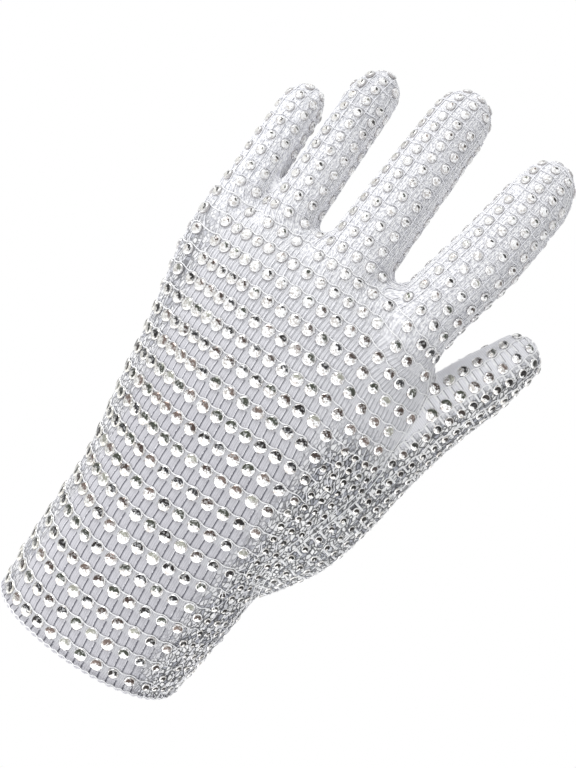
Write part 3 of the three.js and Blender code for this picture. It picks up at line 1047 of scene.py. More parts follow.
@dataclass
class Nodes:
    """Short ways to add nodes to a tree. What feeds an input is a plain value or a socket."""

    tree: bpy.types.NodeTree

    def feed(self, node: bpy.types.Node, inputs: dict) -> None:
        """Gives a node's inputs, by name or number, their values and links."""
        for key, value in inputs.items():
            if isinstance(value, Socket):
                self.tree.links.new(value, node.inputs[key])
            else:
                node.inputs[key].default_value = value

    def add(self, kind: str, inputs: dict | None = None, **settings: object) -> bpy.types.Node:
        """Adds a node.

        Args:
            kind: the node's type name.
            inputs: what feeds its inputs.
            settings: the node's own settings.

        Returns:
            The node.
        """
        node = self.tree.nodes.new(kind)
        for name, value in settings.items():
            setattr(node, name, value)
        self.feed(node, inputs or {})
        return node

    def out(self, kind: str, inputs: dict | None = None, **settings: object) -> Socket:
        """Adds a node and gives its first output."""
        return self.add(kind, inputs, **settings).outputs[0]

    def math(self, step: str, *values: object) -> Socket:
        """One step of arithmetic."""
        return self.out("ShaderNodeMath", dict(enumerate(values)), operation=step)

    def weighted(self, start: object, values: Sequence[object], weights: Sequence[float]) -> Socket:
        """A start value, with each of some values times its weight added to it."""
        for value, weight in zip(values, weights):
            start = self.math("MULTIPLY_ADD", value, weight, start)
        return start

    def vector(self, step: str, *values: object, **named: object) -> Socket:
        """One step of vector arithmetic."""
        node = self.add("ShaderNodeVectorMath", dict(enumerate(values)) | named, operation=step)
        return node.outputs["Value" if step in ("LENGTH", "DOT_PRODUCT") else "Vector"]

    def ramp(
        self, value: object, low: float = 0.0, high: float = 1.0, start: float = 0.0, end: object = 1.0
    ) -> Socket:
        """A ramp from start at low to end at high, held beyond them."""
        return self.out("ShaderNodeMapRange", {
            "Value": value, "From Min": low, "From Max": high, "To Min": start, "To Max": end,
        })

    def blend(self, share: object, first: object, second: object) -> Socket:
        """A number between two others."""
        return self.out("ShaderNodeMix", {0: share, 2: first, 3: second})

    def colour(self, share: object, first: object, second: object, way: str = "MIX") -> Socket:
        """A colour between two others, each a socket or an sRGB hex value."""
        first, second = (linear(end) if isinstance(end, str) else end for end in (first, second))
        inputs = {0: share, 6: first, 7: second}
        return self.add("ShaderNodeMix", inputs, data_type="RGBA", blend_type=way).outputs[2]

    def parts(self, vector: Socket) -> tuple[Socket, ...]:
        """The three parts of a vector or colour."""
        return tuple(self.add("ShaderNodeSeparateXYZ", {0: vector}).outputs)

    def stored(self, name: str, output: str = "Fac") -> Socket:
        """A value that the mesh keeps under a name."""
        return self.add("ShaderNodeAttribute", attribute_name=name).outputs[output]

    def place(self) -> Socket:
        """The place on the object, in metres."""
        return self.add("ShaderNodeTexCoord").outputs["Object"]

    def cells(self, where: Socket, scale: float, output: str = "Color", **settings: object) -> Socket:
        """An output of scattered cells."""
        inputs = {"Vector": where, "Scale": scale}
        return self.add("ShaderNodeTexVoronoi", inputs, **settings).outputs[output]

    def random(self, low: object, high: object, seed: object) -> Socket:
        """A random number for each point or instance."""
        inputs = {2: low, 3: high, "Seed": seed}
        return self.add("FunctionNodeRandomValue", inputs, data_type="FLOAT").outputs[1]

    def end(self, geometry: Socket, material: Socket) -> None:
        """Realizes the instances, sets the material and closes a geometry tree."""
        real = self.out("GeometryNodeRealizeInstances", {"Geometry": geometry})
        done = self.out("GeometryNodeSetMaterial", {"Geometry": real, "Material": material})
        self.add("NodeGroupOutput", {0: done})


def new_tree(name: str, **sockets: str) -> tuple[Nodes, bpy.types.NodeOutputs]:
    """A geometry tree with named inputs.

    Args:
        name: the tree's name.
        sockets: the type of each input after the geometry, with underscores for spaces in its name.

    Returns:
        The tree's nodes and its inputs.
    """
    tree = bpy.data.node_groups.new(name, "GeometryNodeTree")
    given = [("Geometry", "Geometry", "INPUT")]
    given += [(label.replace("_", " "), kind, "INPUT") for label, kind in sockets.items()]
    for label, kind, way in (*given, ("Geometry", "Geometry", "OUTPUT")):
        tree.interface.new_socket(label, in_out=way, socket_type="NodeSocket" + kind)
    nodes = Nodes(tree)
    return nodes, nodes.add("NodeGroupInput").outputs


def run_tree(obj: bpy.types.Object, nodes: Nodes, values: dict[str, object]) -> None:
    """Runs a geometry tree on an object and keeps the result as its plain mesh.

    Args:
        obj: the object that gets it.
        nodes: the geometry tree.
        values: the named inputs.
    """
    modifier = obj.modifiers.new(nodes.tree.name, "NODES")
    modifier.node_group = nodes.tree
    for item in nodes.tree.interface.items_tree:
        if item.in_out == "INPUT" and item.name in values:
            modifier[item.identifier] = values[item.name]
    applied(obj)


def thread_tree() -> Nodes:
    """A tree that lays a round thread along every line of a mesh."""
    nodes, given = new_tree(
        "thread_along_lines", Radius="Float", Spacing="Float", Sides="Int", Material="Material"
    )
    path = nodes.out("GeometryNodeMeshToCurve", {"Mesh": given["Geometry"]})
    even = nodes.out(
        "GeometryNodeResampleCurve", {"Curve": path, "Length": given["Spacing"]}, mode="LENGTH"
    )
    ring = nodes.out(
        "GeometryNodeCurvePrimitiveCircle",
        {"Resolution": given["Sides"], "Radius": given["Radius"]}, mode="RADIUS",
    )
    tube = nodes.out(
        "GeometryNodeCurveToMesh", {"Curve": even, "Profile Curve": ring, "Fill Caps": True}
    )
    nodes.end(nodes.out("GeometryNodeSetShadeSmooth", {"Geometry": tube}), given["Material"])
    return nodes


# Seeds of the stones' small turns about their two level axes
TILT_SEEDS = (11, 12)


def stone_tree() -> Nodes:
    """A tree that sets one cut stone on every point, facing out and turned at random."""
    nodes, given = new_tree(
        "stones_on_points", Stone="Object", Size_Spread="Float", Tilt="Float", Seed="Int",
        Material="Material",
    )
    seed, tilt, spread = given["Seed"], given["Tilt"], given["Size Spread"]

    def kept(name: str, kind: str) -> Socket:
        """What a point keeps under a name."""
        return nodes.out("GeometryNodeInputNamedAttribute", {"Name": name}, data_type=kind)

    upright = nodes.out(
        "FunctionNodeAlignRotationToVector", {"Vector": kept("facing", "FLOAT_VECTOR")}, axis="Z"
    )
    lowest = nodes.math("MULTIPLY", tilt, -1.0)
    turns = [nodes.random(lowest, tilt, own) for own in TILT_SEEDS]
    turns.append(nodes.random(0.0, 2 * math.pi, seed))
    angles = nodes.out("ShaderNodeCombineXYZ", dict(enumerate(turns)))
    turn = nodes.out("FunctionNodeEulerToRotation", {0: angles})
    rotation = nodes.out(
        "FunctionNodeRotateRotation", {"Rotation": upright, "Rotate By": turn}, rotation_space="LOCAL"
    )
    size = nodes.random(
        nodes.math("SUBTRACT", 1.0, spread), nodes.math("ADD", 1.0, spread), seed
    )
    stone = nodes.add(
        "GeometryNodeObjectInfo", {"Object": given["Stone"]}, transform_space="ORIGINAL"
    )
    laid = nodes.out("GeometryNodeInstanceOnPoints", {
        "Points": given["Geometry"], "Instance": stone.outputs["Geometry"], "Rotation": rotation,
        "Scale": nodes.math("MULTIPLY", kept("size", "FLOAT"), size),
    })
    tinted = nodes.out(
        "GeometryNodeStoreNamedAttribute",
        {"Geometry": laid, "Name": "tint", "Value": nodes.random(0.0, 1.0, seed)},
        data_type="FLOAT", domain="INSTANCE",
    )
    nodes.end(tinted, given["Material"])
    return nodes


def new_material(name: str) -> tuple[bpy.types.Material, Nodes, bpy.types.Node]:
    """A material with its nodes and its shader."""
    material = bpy.data.materials.new(name)
    material.use_nodes = True
    return material, Nodes(material.node_tree), material.node_tree.nodes["Principled BSDF"]


@dataclass(frozen=True)
class KnitFinish:
    """Fine stretch knit of polyamide: matt, with a faint sheen and thin upright ribs.

    Across and along are counted in columns and rows of stones. The light field is painted light, which lifts
    the knit's colour: it tells the cuff, at 0, from the knuckles, at 1, and the thumb, at 1.3. Each entry of
    grooves holds how many there are to a column, where its edge starts and ends in shares of groove_share, and
    how much of its painted shade shows. A bump is its strength and its height in millimetres.
    """

    name: str = "stretch_knit"
    colour: str = "C5C4CA"
    # Painted shade that lies in the grooves under the net's threads
    groove_shade: str = "5E5E68"
    band: str = "CACACE"
    # The colour that the painted light field lifts the knit towards
    light: str = "DFDFE3"
    upper: tuple[str, str] = ("CACAD0", "FBFBFC")
    # The gathered net: painted shade in its gaps, then a dim and a bright thread tone
    gathered: tuple[str, str, str] = ("26282E", "ABADB6", "FFFFFF")
    gathered_mm: tuple[float, float, float] = (1.1, 1.1, 2.3)
    roughness: float = 0.75
    rib_mm: float = 0.76
    cell_mm: float = 6.1
    row_mm: float = 5.6
    mesh_mm: tuple[float, float] = (0.62, 0.95)
    cloud_mm: float = 14.0
    groove_share: float = 0.085
    groove_shift: float = 0.24
    grooves: tuple = ((2.0, 0.4, 1.6, 1.0), (4.0, 0.6, 3.2, 0.65))
    knuckle_lights: tuple = ((0.45, 0.85), (1.22, 1.28, 1.0, 0.0))
    band_edge: tuple[float, float] = (0.18, 0.24)
    mesh_edge: tuple[float, float] = (0.36, 0.6)
    clouds: tuple[float, float] = (0.93, 1.05)
    # Painted light: how much the colour is lifted where the light field passes 1
    painted_light_lift: tuple[float, float, float, float] = (1.0, 1.5, 1.0, 1.25)
    # Painted light and shade across the fine ribs
    rib_painted_shade: tuple[float, float] = (0.9, 1.06)
    rib_bump: tuple[float, float] = (0.35, 0.12)
    net_bump: tuple[float, float] = (0.8, 0.5)
    fewer_grooves: tuple[float, float] = (0.5, 0.25)
    gap_edge: tuple[float, float] = (0.02, 0.16)
    bright_from: tuple[float, float] = (0.2, 0.5)
    gathered_from: float = 0.7
    gathered_most: tuple[float, float] = (0.92, 0.5)

    def material(self) -> bpy.types.Material:
        """The knit, with painted shade in the grooves under the net threads, painted light from the light
        field and a fine rib with painted shade.
        """
        material, nodes, shader = new_material(self.name)
        place = nodes.out("ShaderNodeUVMap", uv_map="net")
        across, along, _ = nodes.parts(place)
        light, higher = nodes.stored("light"), nodes.stored("fine")
        row = nodes.math("PINGPONG", along, 0.5)
        between = nodes.ramp(row, *self.band_edge)
        # Painted shade in the grooves between the knit's puffs
        groove_shade = self._painted_groove_shade(nodes, across, light, higher, between)
        plain = nodes.colour(between, self.band, self.colour)
        # Painted light: paler where the light field is higher
        base = nodes.colour(light, plain, self.light)
        fine_at = nodes.out("ShaderNodeCombineXYZ", {
            0: nodes.math("MULTIPLY", across, self.cell_mm / self.mesh_mm[0]),
            1: nodes.math("MULTIPLY", along, self.row_mm / self.mesh_mm[1]),
        })
        mesh = nodes.out(
            "ShaderNodeTexNoise", {"Vector": fine_at, "Scale": 1.0, "Detail": 1.0}, noise_dimensions="2D"
        )
        meshed = nodes.colour(nodes.ramp(mesh, *self.mesh_edge), *self.upper)
        shade = nodes.colour(groove_shade, nodes.colour(higher, base, meshed), self.groove_shade)
        # A random mottle, times the painted light where the light field passes 1
        cloud = nodes.out("ShaderNodeTexNoise", {
            "Vector": nodes.place(), "Scale": 1 / (self.cloud_mm * MM), "Detail": 3.0,
        })
        mottle_and_painted_light = nodes.math(
            "MULTIPLY", nodes.ramp(cloud, 0.0, 1.0, *self.clouds), nodes.ramp(light, *self.painted_light_lift)
        )
        tinted = nodes.colour(1.0, shade, mottle_and_painted_light, "MULTIPLY")
        # Painted light and shade across the fine ribs, beside their bump
        rib = nodes.math("MULTIPLY", across, 2 * math.pi * self.cell_mm / self.rib_mm)
        wave = nodes.math("SINE", rib)
        rib_shaded = nodes.colour(1.0, tinted, nodes.ramp(wave, -1.0, 1.0, *self.rib_painted_shade), "MULTIPLY")
        streak, drawn, gathered = self._gathered_net(nodes, higher)
        bumps = None
        for height, (strength, deep) in (
            (wave, self.rib_bump), (nodes.math("MULTIPLY", streak, gathered), self.net_bump),
        ):
            inputs = {"Height": height, "Strength": strength, "Distance": deep * MM}
            bumps = nodes.out("ShaderNodeBump", inputs | ({"Normal": bumps} if bumps else {}))
        nodes.feed(shader, {
            "Base Color": nodes.colour(gathered, rib_shaded, drawn),
            "Normal": bumps, "Roughness": self.roughness, "Sheen Weight": 0.25,
            "Specular IOR Level": 0.35,
        })
        return material

    def _painted_groove_shade(
        self, nodes: Nodes, across: Socket, light: Socket, higher: Socket, between: Socket
    ) -> Socket:
        """How much painted shade shows in the grooves under the net's upright threads.

        They lie half a column apart, and closer and softer at the knuckles.

        Args:
            nodes: the material's nodes.
            across: the column.
            light: the light field.
            higher: one on the fingers.
            between: one between the rows and zero on them.

        Returns:
            The share.
        """
        share = self.groove_share
        near = []
        for closer, low, high, most in self.grooves:
            shifted = nodes.math("MULTIPLY_ADD", across, closer, self.groove_shift)
            cell = nodes.math("PINGPONG", shifted, 0.5)
            near.append(nodes.ramp(cell, share * low, share * high, most, 0.0))
        knuckles = nodes.math("MULTIPLY", *(nodes.ramp(light, *ends) for ends in self.knuckle_lights))
        shown = nodes.math("MULTIPLY", nodes.blend(knuckles, *near), between)
        for there, least in zip((light, higher), self.fewer_grooves):
            shown = nodes.math("MULTIPLY", shown, nodes.ramp(there, start=1.0, end=least))
        return shown

    def _gathered_net(self, nodes: Nodes, higher: Socket) -> tuple[Socket, Socket, Socket]:
        """The short light threads of the net where it is gathered, and painted shade in the gaps between them.

        Args:
            nodes: the material's nodes.
            higher: one on the fingers, where the painted shade in the gaps is lighter.

        Returns:
            The threads' height, their colour, and how much of them shows.
        """
        scale = tuple(1 / (size * MM) for size in self.gathered_mm)
        where = nodes.vector("MULTIPLY", nodes.place(), scale)
        gap = nodes.cells(where, 1.0, "Distance", feature="DISTANCE_TO_EDGE")
        height = nodes.ramp(gap, *self.gap_edge)
        kind = nodes.parts(nodes.cells(where, 1.0))[0]
        gap_shade, dull, bright = self.gathered
        tone = nodes.colour(nodes.ramp(kind, *self.bright_from), dull, bright)
        drawn = nodes.colour(height, nodes.colour(higher, gap_shade, dull), tone)
        most = nodes.ramp(higher, 0.0, 1.0, *self.gathered_most)
        return height, drawn, nodes.ramp(nodes.stored("gather"), high=self.gathered_from, end=most)


@dataclass(frozen=True)
class ThreadFinish:
    """Smooth multifilament polyester thread: a soft bright gloss along its length."""

    name: str
    colour: str = "FBFBFC"
    roughness: float = 0.38
    twist_mm: float = 0.9
    twist_shade: float = 0.9
    wave_length: float = 6.28

    def material(self) -> bpy.types.Material:
        """The thread, with the slanting light and dark of its twist."""
        material, nodes, shader = new_material(self.name)
        wave = nodes.add("ShaderNodeTexWave", {
            "Vector": nodes.place(), "Scale": 1 / (self.twist_mm * MM) / self.wave_length, "Distortion": 2.0,
        }, bands_direction="DIAGONAL").outputs["Fac"]
        nodes.feed(shader, {
            "Base Color": nodes.colour(1.0, self.colour, nodes.ramp(wave, start=self.twist_shade), "MULTIPLY"),
            "Roughness": self.roughness, "Specular IOR Level": 0.6, "Sheen Weight": 0.15,
        })
        return material


@dataclass(frozen=True)
class StoneFinish:
    """Cut lead-free glass on a silver foil, with its reflections and shade painted into its colour.

    The foil is a hollow cone behind the glass. Its colour is painted reflection: white, with a dark arch on
    one side where the cone's far side would reflect dark surroundings, grey facets and glints; painted shade
    darkens its rim, and the stones that face away from the key light or sit in a gather. The arch is large at
    the cuff and shrinks to a speck on the fingers. It narrows from its start by the stone's own random number,
    by how faded it is, and by how far the stone faces away from the key light and sideways, each with its
    weight. Each of its edges holds how much it widens, and the radii between which the dark begins.
    """

    name: str = "foil_backed_glass"
    # Colours: clear and grey are painted white and grey reflections, the dark colours below them a painted
    # reflection of dark surroundings, edge a painted shade round the rim, and dull a painted shade
    clear: str = "FFFFFF"
    grey: str = "C9C4C0"
    reflected_tones: tuple = (
        (0.0, "1A1614"), (0.22, "41453A"), (0.4, "44362F"), (0.56, "232326"), (0.68, "75665F"),
        (0.86, "A3A398"),
    )
    edge: str = "8E8E96"
    radius: float = 2.2
    facet_mm: float = 1.0
    small_facet_mm: float = 0.6
    scatter: float = 0.25
    ragged: float = 0.36
    dull: str = "CBC8C0"
    lean: tuple[float, float] = (-0.42, 0.35)
    rows_mm: tuple[float, float] = (20.0, 150.0)
    fade_mm: tuple[float, float] = (92.0, 150.0)
    milky_mm: tuple[float, float] = (100.0, 165.0)
    thumb_from_mm: float = 10.0
    thumb_fall: float = -0.9
    sideways: tuple[float, float, float] = (0.966, 0.259, 0.0)
    away_ends: tuple[float, float] = (-0.05, -0.7)
    rim_shade_ends: tuple[float, float] = (1.0, 1.04)
    rim_shade_wider: float = 0.1
    own_share: float = 17.31
    painted_glints: tuple = (0.66, 0.8, 0.0, 0.3)
    darker_reflection_in_gathers: tuple = (0.3, 0.7, 0.0, 0.9)
    grey_reflection_facets: tuple[float, float] = (0.58, 0.75)
    shade_away: float = 0.8
    shade_in_gathers: tuple = (0.3, 0.8, 0.0, 0.35)
    rim_facets: tuple[float, float] = (0.58, 0.7)
    rim_paler: float = 0.6
    metal: tuple[float, float] = (0.95, 0.35)
    arch_weights: tuple = (0.5, 0.7, -0.25, -0.8)
    arch_start: float = -0.2
    arch_soft: float = 0.14
    arch_edges: tuple = ((0.2, 0.14, 0.3), (0.1, 0.87, 0.78), (0.42, 1.02, 0.96))
    lean_weights: tuple[float, float] = (1.1, 0.6)
    upright: float = 0.92
    middle: float = 0.05
    aside_ends: tuple[float, float] = (0.25, 0.7)
    aside_faded: tuple = (0.5, 1.0, 1.0, 0.2)
    aside_in_gathers: tuple = (0.4, 0.8, 0.0, 0.8)

    def material(self) -> bpy.types.Material:
        """The stone's foil as a bright metal under a coat that stands for the glass, with its reflections,
        glints and shade painted into the colour.
        """
        material, nodes, shader = new_material(self.name)
        place = nodes.place()
        tint, tight = nodes.stored("tint"), nodes.stored("gather")
        other = nodes.math("FRACT", nodes.math("MULTIPLY", tint, self.own_share))
        centre = nodes.stored("centre", "Vector")
        cells = nodes.cells(place, 1 / (self.facet_mm * MM))
        shift = nodes.vector("SUBTRACT", cells, (0.5, 0.5, 0.5))
        flat = nodes.add("ShaderNodeNewGeometry").outputs["Normal"]
        turned = nodes.vector("ADD", flat, nodes.vector("SCALE", shift, Scale=self.scatter))

        from_middle = nodes.vector("SUBTRACT", place, centre)
        whole = nodes.math("DIVIDE", 1 / (self.radius * MM), nodes.stored("size"))
        sized = nodes.vector("SCALE", from_middle, Scale=whole)
        uneven = nodes.vector("ADD", sized, nodes.vector("SCALE", shift, Scale=self.ragged))
        rim = nodes.vector("LENGTH", sized)

        x, _, z = nodes.parts(centre)
        past = nodes.math("MAXIMUM", nodes.math("SUBTRACT", x, self.thumb_from_mm * MM), 0.0)
        height = nodes.math("MULTIPLY_ADD", past, self.thumb_fall, z)
        aslant = nodes.parts(nodes.stored("facing", "Vector"))[0]
        fading = nodes.ramp(height, *(end * MM for end in self.fade_mm))
        away = nodes.ramp(aslant, *self.away_ends)
        dark = self._painted_reflection_arch(nodes, uneven, rim, (tint, other, tight), (height, fading, away, aslant))

        # Painted reflection: dark surroundings in the arch, with white glints, and grey facets in the bright
        # part
        reflected_tones = nodes.add("ShaderNodeValToRGB", {0: other})
        reflected_tones.color_ramp.interpolation = "CONSTANT"
        stops = reflected_tones.color_ramp.elements
        while len(stops) < len(self.reflected_tones):
            stops.new(1.0)
        for stop, (at, code) in zip(stops, self.reflected_tones):
            stop.position = at
            stop.color = linear(code)
        small = nodes.cells(place, 1 / (self.small_facet_mm * self.facet_mm * MM))
        first, second, third = nodes.parts(small)
        tone = nodes.colour(nodes.ramp(second, *self.painted_glints), reflected_tones.outputs[0], self.clear)
        tone = nodes.colour(nodes.ramp(tight, *self.darker_reflection_in_gathers), tone, self.reflected_tones[0][1])
        bright = nodes.colour(nodes.ramp(first, *self.grey_reflection_facets), self.clear, self.grey)
        # Painted shade: dimmer where the stone faces away from the key light or sits in a gather
        painted_stone_shade = nodes.math(
            "MAXIMUM", nodes.math("MULTIPLY", away, self.shade_away),
            nodes.ramp(tight, *self.shade_in_gathers),
        )
        bright = nodes.colour(painted_stone_shade, bright, self.dull)
        inside = nodes.colour(dark, bright, tone)
        # Painted reflection: grey facets near the rim on the fingers
        faded = nodes.math("MULTIPLY", fading, self.rim_paler)
        rim_reflection_share = nodes.math("MULTIPLY", faded, nodes.ramp(rim, *self.rim_facets))
        inside = nodes.colour(rim_reflection_share, inside, nodes.colour(third, self.edge, self.clear))
        # Painted shade: a dark rim round the stone, paler on the fingers
        ring = nodes.ramp(nodes.math("MULTIPLY_ADD", fading, self.rim_shade_wider, rim), *self.rim_shade_ends)
        nodes.feed(shader, {
            "Base Color": nodes.colour(ring, inside, nodes.colour(faded, self.edge, self.grey)),
            "Normal": nodes.vector("NORMALIZE", turned),
            "Metallic": nodes.ramp(height, *(end * MM for end in self.milky_mm), *self.metal),
            "Roughness": 0.12, "Coat Weight": 0.6, "Coat Roughness": 0.03,
        })
        return material

    def _painted_reflection_arch(
        self, nodes: Nodes, uneven: Socket, rim: Socket, own: tuple[Socket, ...],
        spot: tuple[Socket, ...],
    ) -> Socket:
        """Where the painted dark reflection of the cone's far side shows.

        Args:
            nodes: the material's nodes.
            uneven: the place on the stone in stone radii, shifted facet by facet.
            rim: the distance from the stone's middle.
            own: two random numbers of the stone, and how gathered the net is there.
            spot: the stone's height on the glove, how faded its arch is, and how far it faces away
                from the key light and sideways.

        Returns:
            One where it is dark.
        """
        tint, other, tight = own
        height, fading, away, aslant = spot
        out = nodes.vector("LENGTH", uneven)
        up = nodes.parts(uneven)[2]
        side = nodes.vector("DOT_PRODUCT", uneven, self.sideways)
        aside = nodes.math(
            "MULTIPLY", nodes.ramp(aslant, *self.aside_ends), nodes.ramp(fading, *self.aside_faded)
        )
        aside = nodes.math("MAXIMUM", aside, nodes.ramp(tight, *self.aside_in_gathers))
        lean = nodes.ramp(height, *(end * MM for end in self.rows_mm), *self.lean)
        lean = nodes.weighted(lean, (away, nodes.math("SUBTRACT", tint, 0.5)), self.lean_weights)
        towards = nodes.math("MULTIPLY_ADD", side, lean, nodes.math("MULTIPLY", up, self.upright))
        cosine = nodes.math("DIVIDE", towards, nodes.math("MAXIMUM", out, self.middle))
        limit = nodes.weighted(self.arch_start, (other, fading, away, aside), self.arch_weights)
        dark = nodes.ramp(nodes.math("SUBTRACT", cosine, limit), 0.0, self.arch_soft)
        followed = ((aside, out), (aside, rim), (fading, rim))
        for (scale, value), (share, low, high) in zip(followed, self.arch_edges):
            within = nodes.ramp(nodes.math("MULTIPLY_ADD", scale, share, value), low, high)
            dark = nodes.math("MULTIPLY", dark, within)
        return dark


@dataclass(frozen=True)
class FloorFinish:
    """Matt white painted board."""

    name: str = "white_board"
    colour: str = "FFFFFF"

    def material(self) -> bpy.types.Material:
        """The board, a little self-lit so that it stays white however the object shades it."""
        material, nodes, shader = new_material(self.name)
        white = linear(self.colour)
        nodes.feed(shader, {
            "Base Color": white, "Roughness": 1.0, "Emission Color": white, "Emission Strength": 0.6,
        })
        return material


@dataclass
class FabricPanels:
    """The knit panels, with the soft puffs that stand between the net's threads."""

    form: GloveForm
    grid: StoneGrid
    finish: KnitFinish = field(default_factory=KnitFinish)
    puff: float = 0.42
    whole_puff_gap: float = 3.5
    band: float = 2.25
    smallest_gap: float = 0.9
    column_shift: float = 0.12
    seam_fade: tuple[float, float] = (0.5, 2.2)
    seam_depth: float = 0.25
    thickness: float = 0.8
    bare_thumb_arc: float = -6.8
    thumb_side_reach: float = 0.6
    puff_shape: tuple[float, float] = (0.7, 0.6)
    fold: float = 0.5
    fold_pitch: float = 3.4
    fold_sway: tuple = ((0.5, 11.0, 0.0), (0.3, 4.7, 1.0))
    strip_pitch: float = 5.4
    strip_gather: float = 0.3
    # Painted light: the strips' knit is lifted at least this much
    strip_light: float = 1.2
    skin: Skin = None
    normals: np.ndarray = None
    panels: dict[str, Panel] = field(default_factory=dict)

    def build(self) -> list[bpy.types.Object]:
        """Makes the skin, its relief and the panels."""
        self.skin = skin = Skin(self.form).build()
        skin.fields.update(self.grid.fields(skin.vertices))
        for name in ("thumb_edge", "side_edge", *(name for name, _, _ in FOURCHETTES)):
            skin.split(name)
        near_thumb = skin.fields["thumb_edge"] < self.thumb_side_reach
        skin.fields["thumb_side"] = np.where(near_thumb, skin.fields["thumb_side"], 1.0)
        skin.split("thumb_side")
        log.info("skin: %d vertices, %d triangles", len(skin.vertices), len(skin.triangles))
        self.normals = skin.normals()
        skin.vertices = skin.vertices + self.normals * self._relief()[:, None]
        self._cut()
        return [self._object(panel) for panel in self.panels.values()]

    def _relief(self) -> np.ndarray:
        """Height of the knit over the plain skin at every vertex."""
        f = self.skin.fields
        on_thumb = f["thumb_edge"] < 0
        is_back = np.where(on_thumb, f["thumb_side"] > 0, f["side_edge"] < 0)
        back = np.where(on_thumb, f["thumb_back"], f["column_back"])
        sided = np.where(is_back, back, np.where(on_thumb, f["thumb_palm"], f["column_palm"]))
        column = np.where(on_thumb, f["thumb_row"], sided)
        row = np.where(on_thumb, sided, f["row"])
        pitch = np.where(on_thumb, self.grid.thumb_pitch[0], f["row_pitch"])
        band = np.minimum(self.band, (pitch - self.smallest_gap) / 2)
        gap = pitch - 2 * band
        up = (row - np.floor(row)) * pitch
        upright, level = self.puff_shape
        rise = np.sin(math.pi * np.clip((up - band) / gap, 0, 1)) ** upright
        rise = rise * np.abs(np.sin(math.pi * (2 * (column + self.column_shift)))) ** level
        height = self.puff * np.minimum(gap / self.whole_puff_gap, 1) * rise
        edges = [np.abs(f[name]) for name in ("side_edge", "thumb_edge", *(n for n, _, _ in FOURCHETTES))]
        fade = smooth_step(*self.seam_fade, np.min(edges, axis=0))
        bare = on_thumb & is_back & (f["thumb_arc"] < self.bare_thumb_arc)
        z = self.skin.vertices[:, 2]
        phase = f["body_arc"] / self.fold_pitch
        for sway, length, start in self.fold_sway:
            phase = phase + sway * np.sin(z / length + start)
        folds = self.fold * f["gather"] * np.sin(2 * math.pi * phase)
        return np.where(bare, 0.0, (height + folds) * fade - self.seam_depth * (1 - fade))

    def _cut(self) -> None:
        """Shares the skin's triangles out among the panels."""
        skin = self.skin
        f, t = skin.fields, skin.triangles
        thumb = skin.middle("thumb_edge") < 0
        strips = {name: (skin.middle(name) < 0) & ~thumb for name, _, _ in FOURCHETTES}
        free = ~thumb & ~np.any(list(strips.values()), axis=0)
        is_back = skin.middle("side_edge") < 0
        on_back = (skin.middle("thumb_side") > 0)[:, None]
        rows = f["row"][t]
        pitch, wide = f["row_pitch"][t].mean(1), f["column_pitch"][t].mean(1)
        columns = np.where(is_back[:, None], f["column_back"][t], f["column_palm"][t])
        thumb_columns = np.where(on_back, f["thumb_back"][t], f["thumb_palm"][t])
        across, along = (np.full(len(t), size) for size in self.grid.thumb_pitch)
        plan = {
            "fabric_back": (free & is_back, rows, columns, pitch, wide),
            "fabric_palm": (free & ~is_back, rows, columns, pitch, wide),
            "fabric_thumb": (thumb, thumb_columns, f["thumb_row"][t], across, along),
        }
        strip_wide = np.full(len(t), self.strip_pitch)
        for name, mask in strips.items():
            label = name.replace("fourchette", "fabric_strip")
            plan[label] = (mask, rows, f["side_edge"][t] / self.strip_pitch, pitch, strip_wide)
        for name, (mask, *at_corners) in plan.items():
            used, inverse = np.unique(t[mask], return_inverse=True)
            # The fourchette strips get painted light and less gather
            is_strip = name.startswith("fabric_strip")
            self.panels[name] = Panel(
                name, skin.vertices[used], self.normals[used], inverse.reshape(-1, 3),
                *(values[mask] for values in at_corners), name == "fabric_thumb",
                f["gather"][used] * (self.strip_gather if is_strip else 1.0),
                np.maximum(f["light"][used], self.strip_light if is_strip else 0.0), f["fine"][used],
            )

    def _object(self, panel: Panel) -> bpy.types.Object:
        """One panel as an object with thickness."""
        obj = mesh_object(panel.name, panel.vertices, panel.triangles)
        store_net_place(obj, np.stack([panel.column, panel.row], axis=2))
        store(obj, gather=panel.gather, light=panel.light, fine=panel.fine)
        obj.data.shade_smooth()
        wall = obj.modifiers.new("wall", "SOLIDIFY")
        wall.thickness = self.thickness * MM
        wall.offset = -1
        wall.use_even_offset = False
        applied(obj)
        obj.data.materials.clear()
        obj.data.materials.append(bpy.data.materials.get(self.finish.name) or self.finish.material())
        log.info("%s: %d faces", panel.name, len(obj.data.polygons))
        return obj


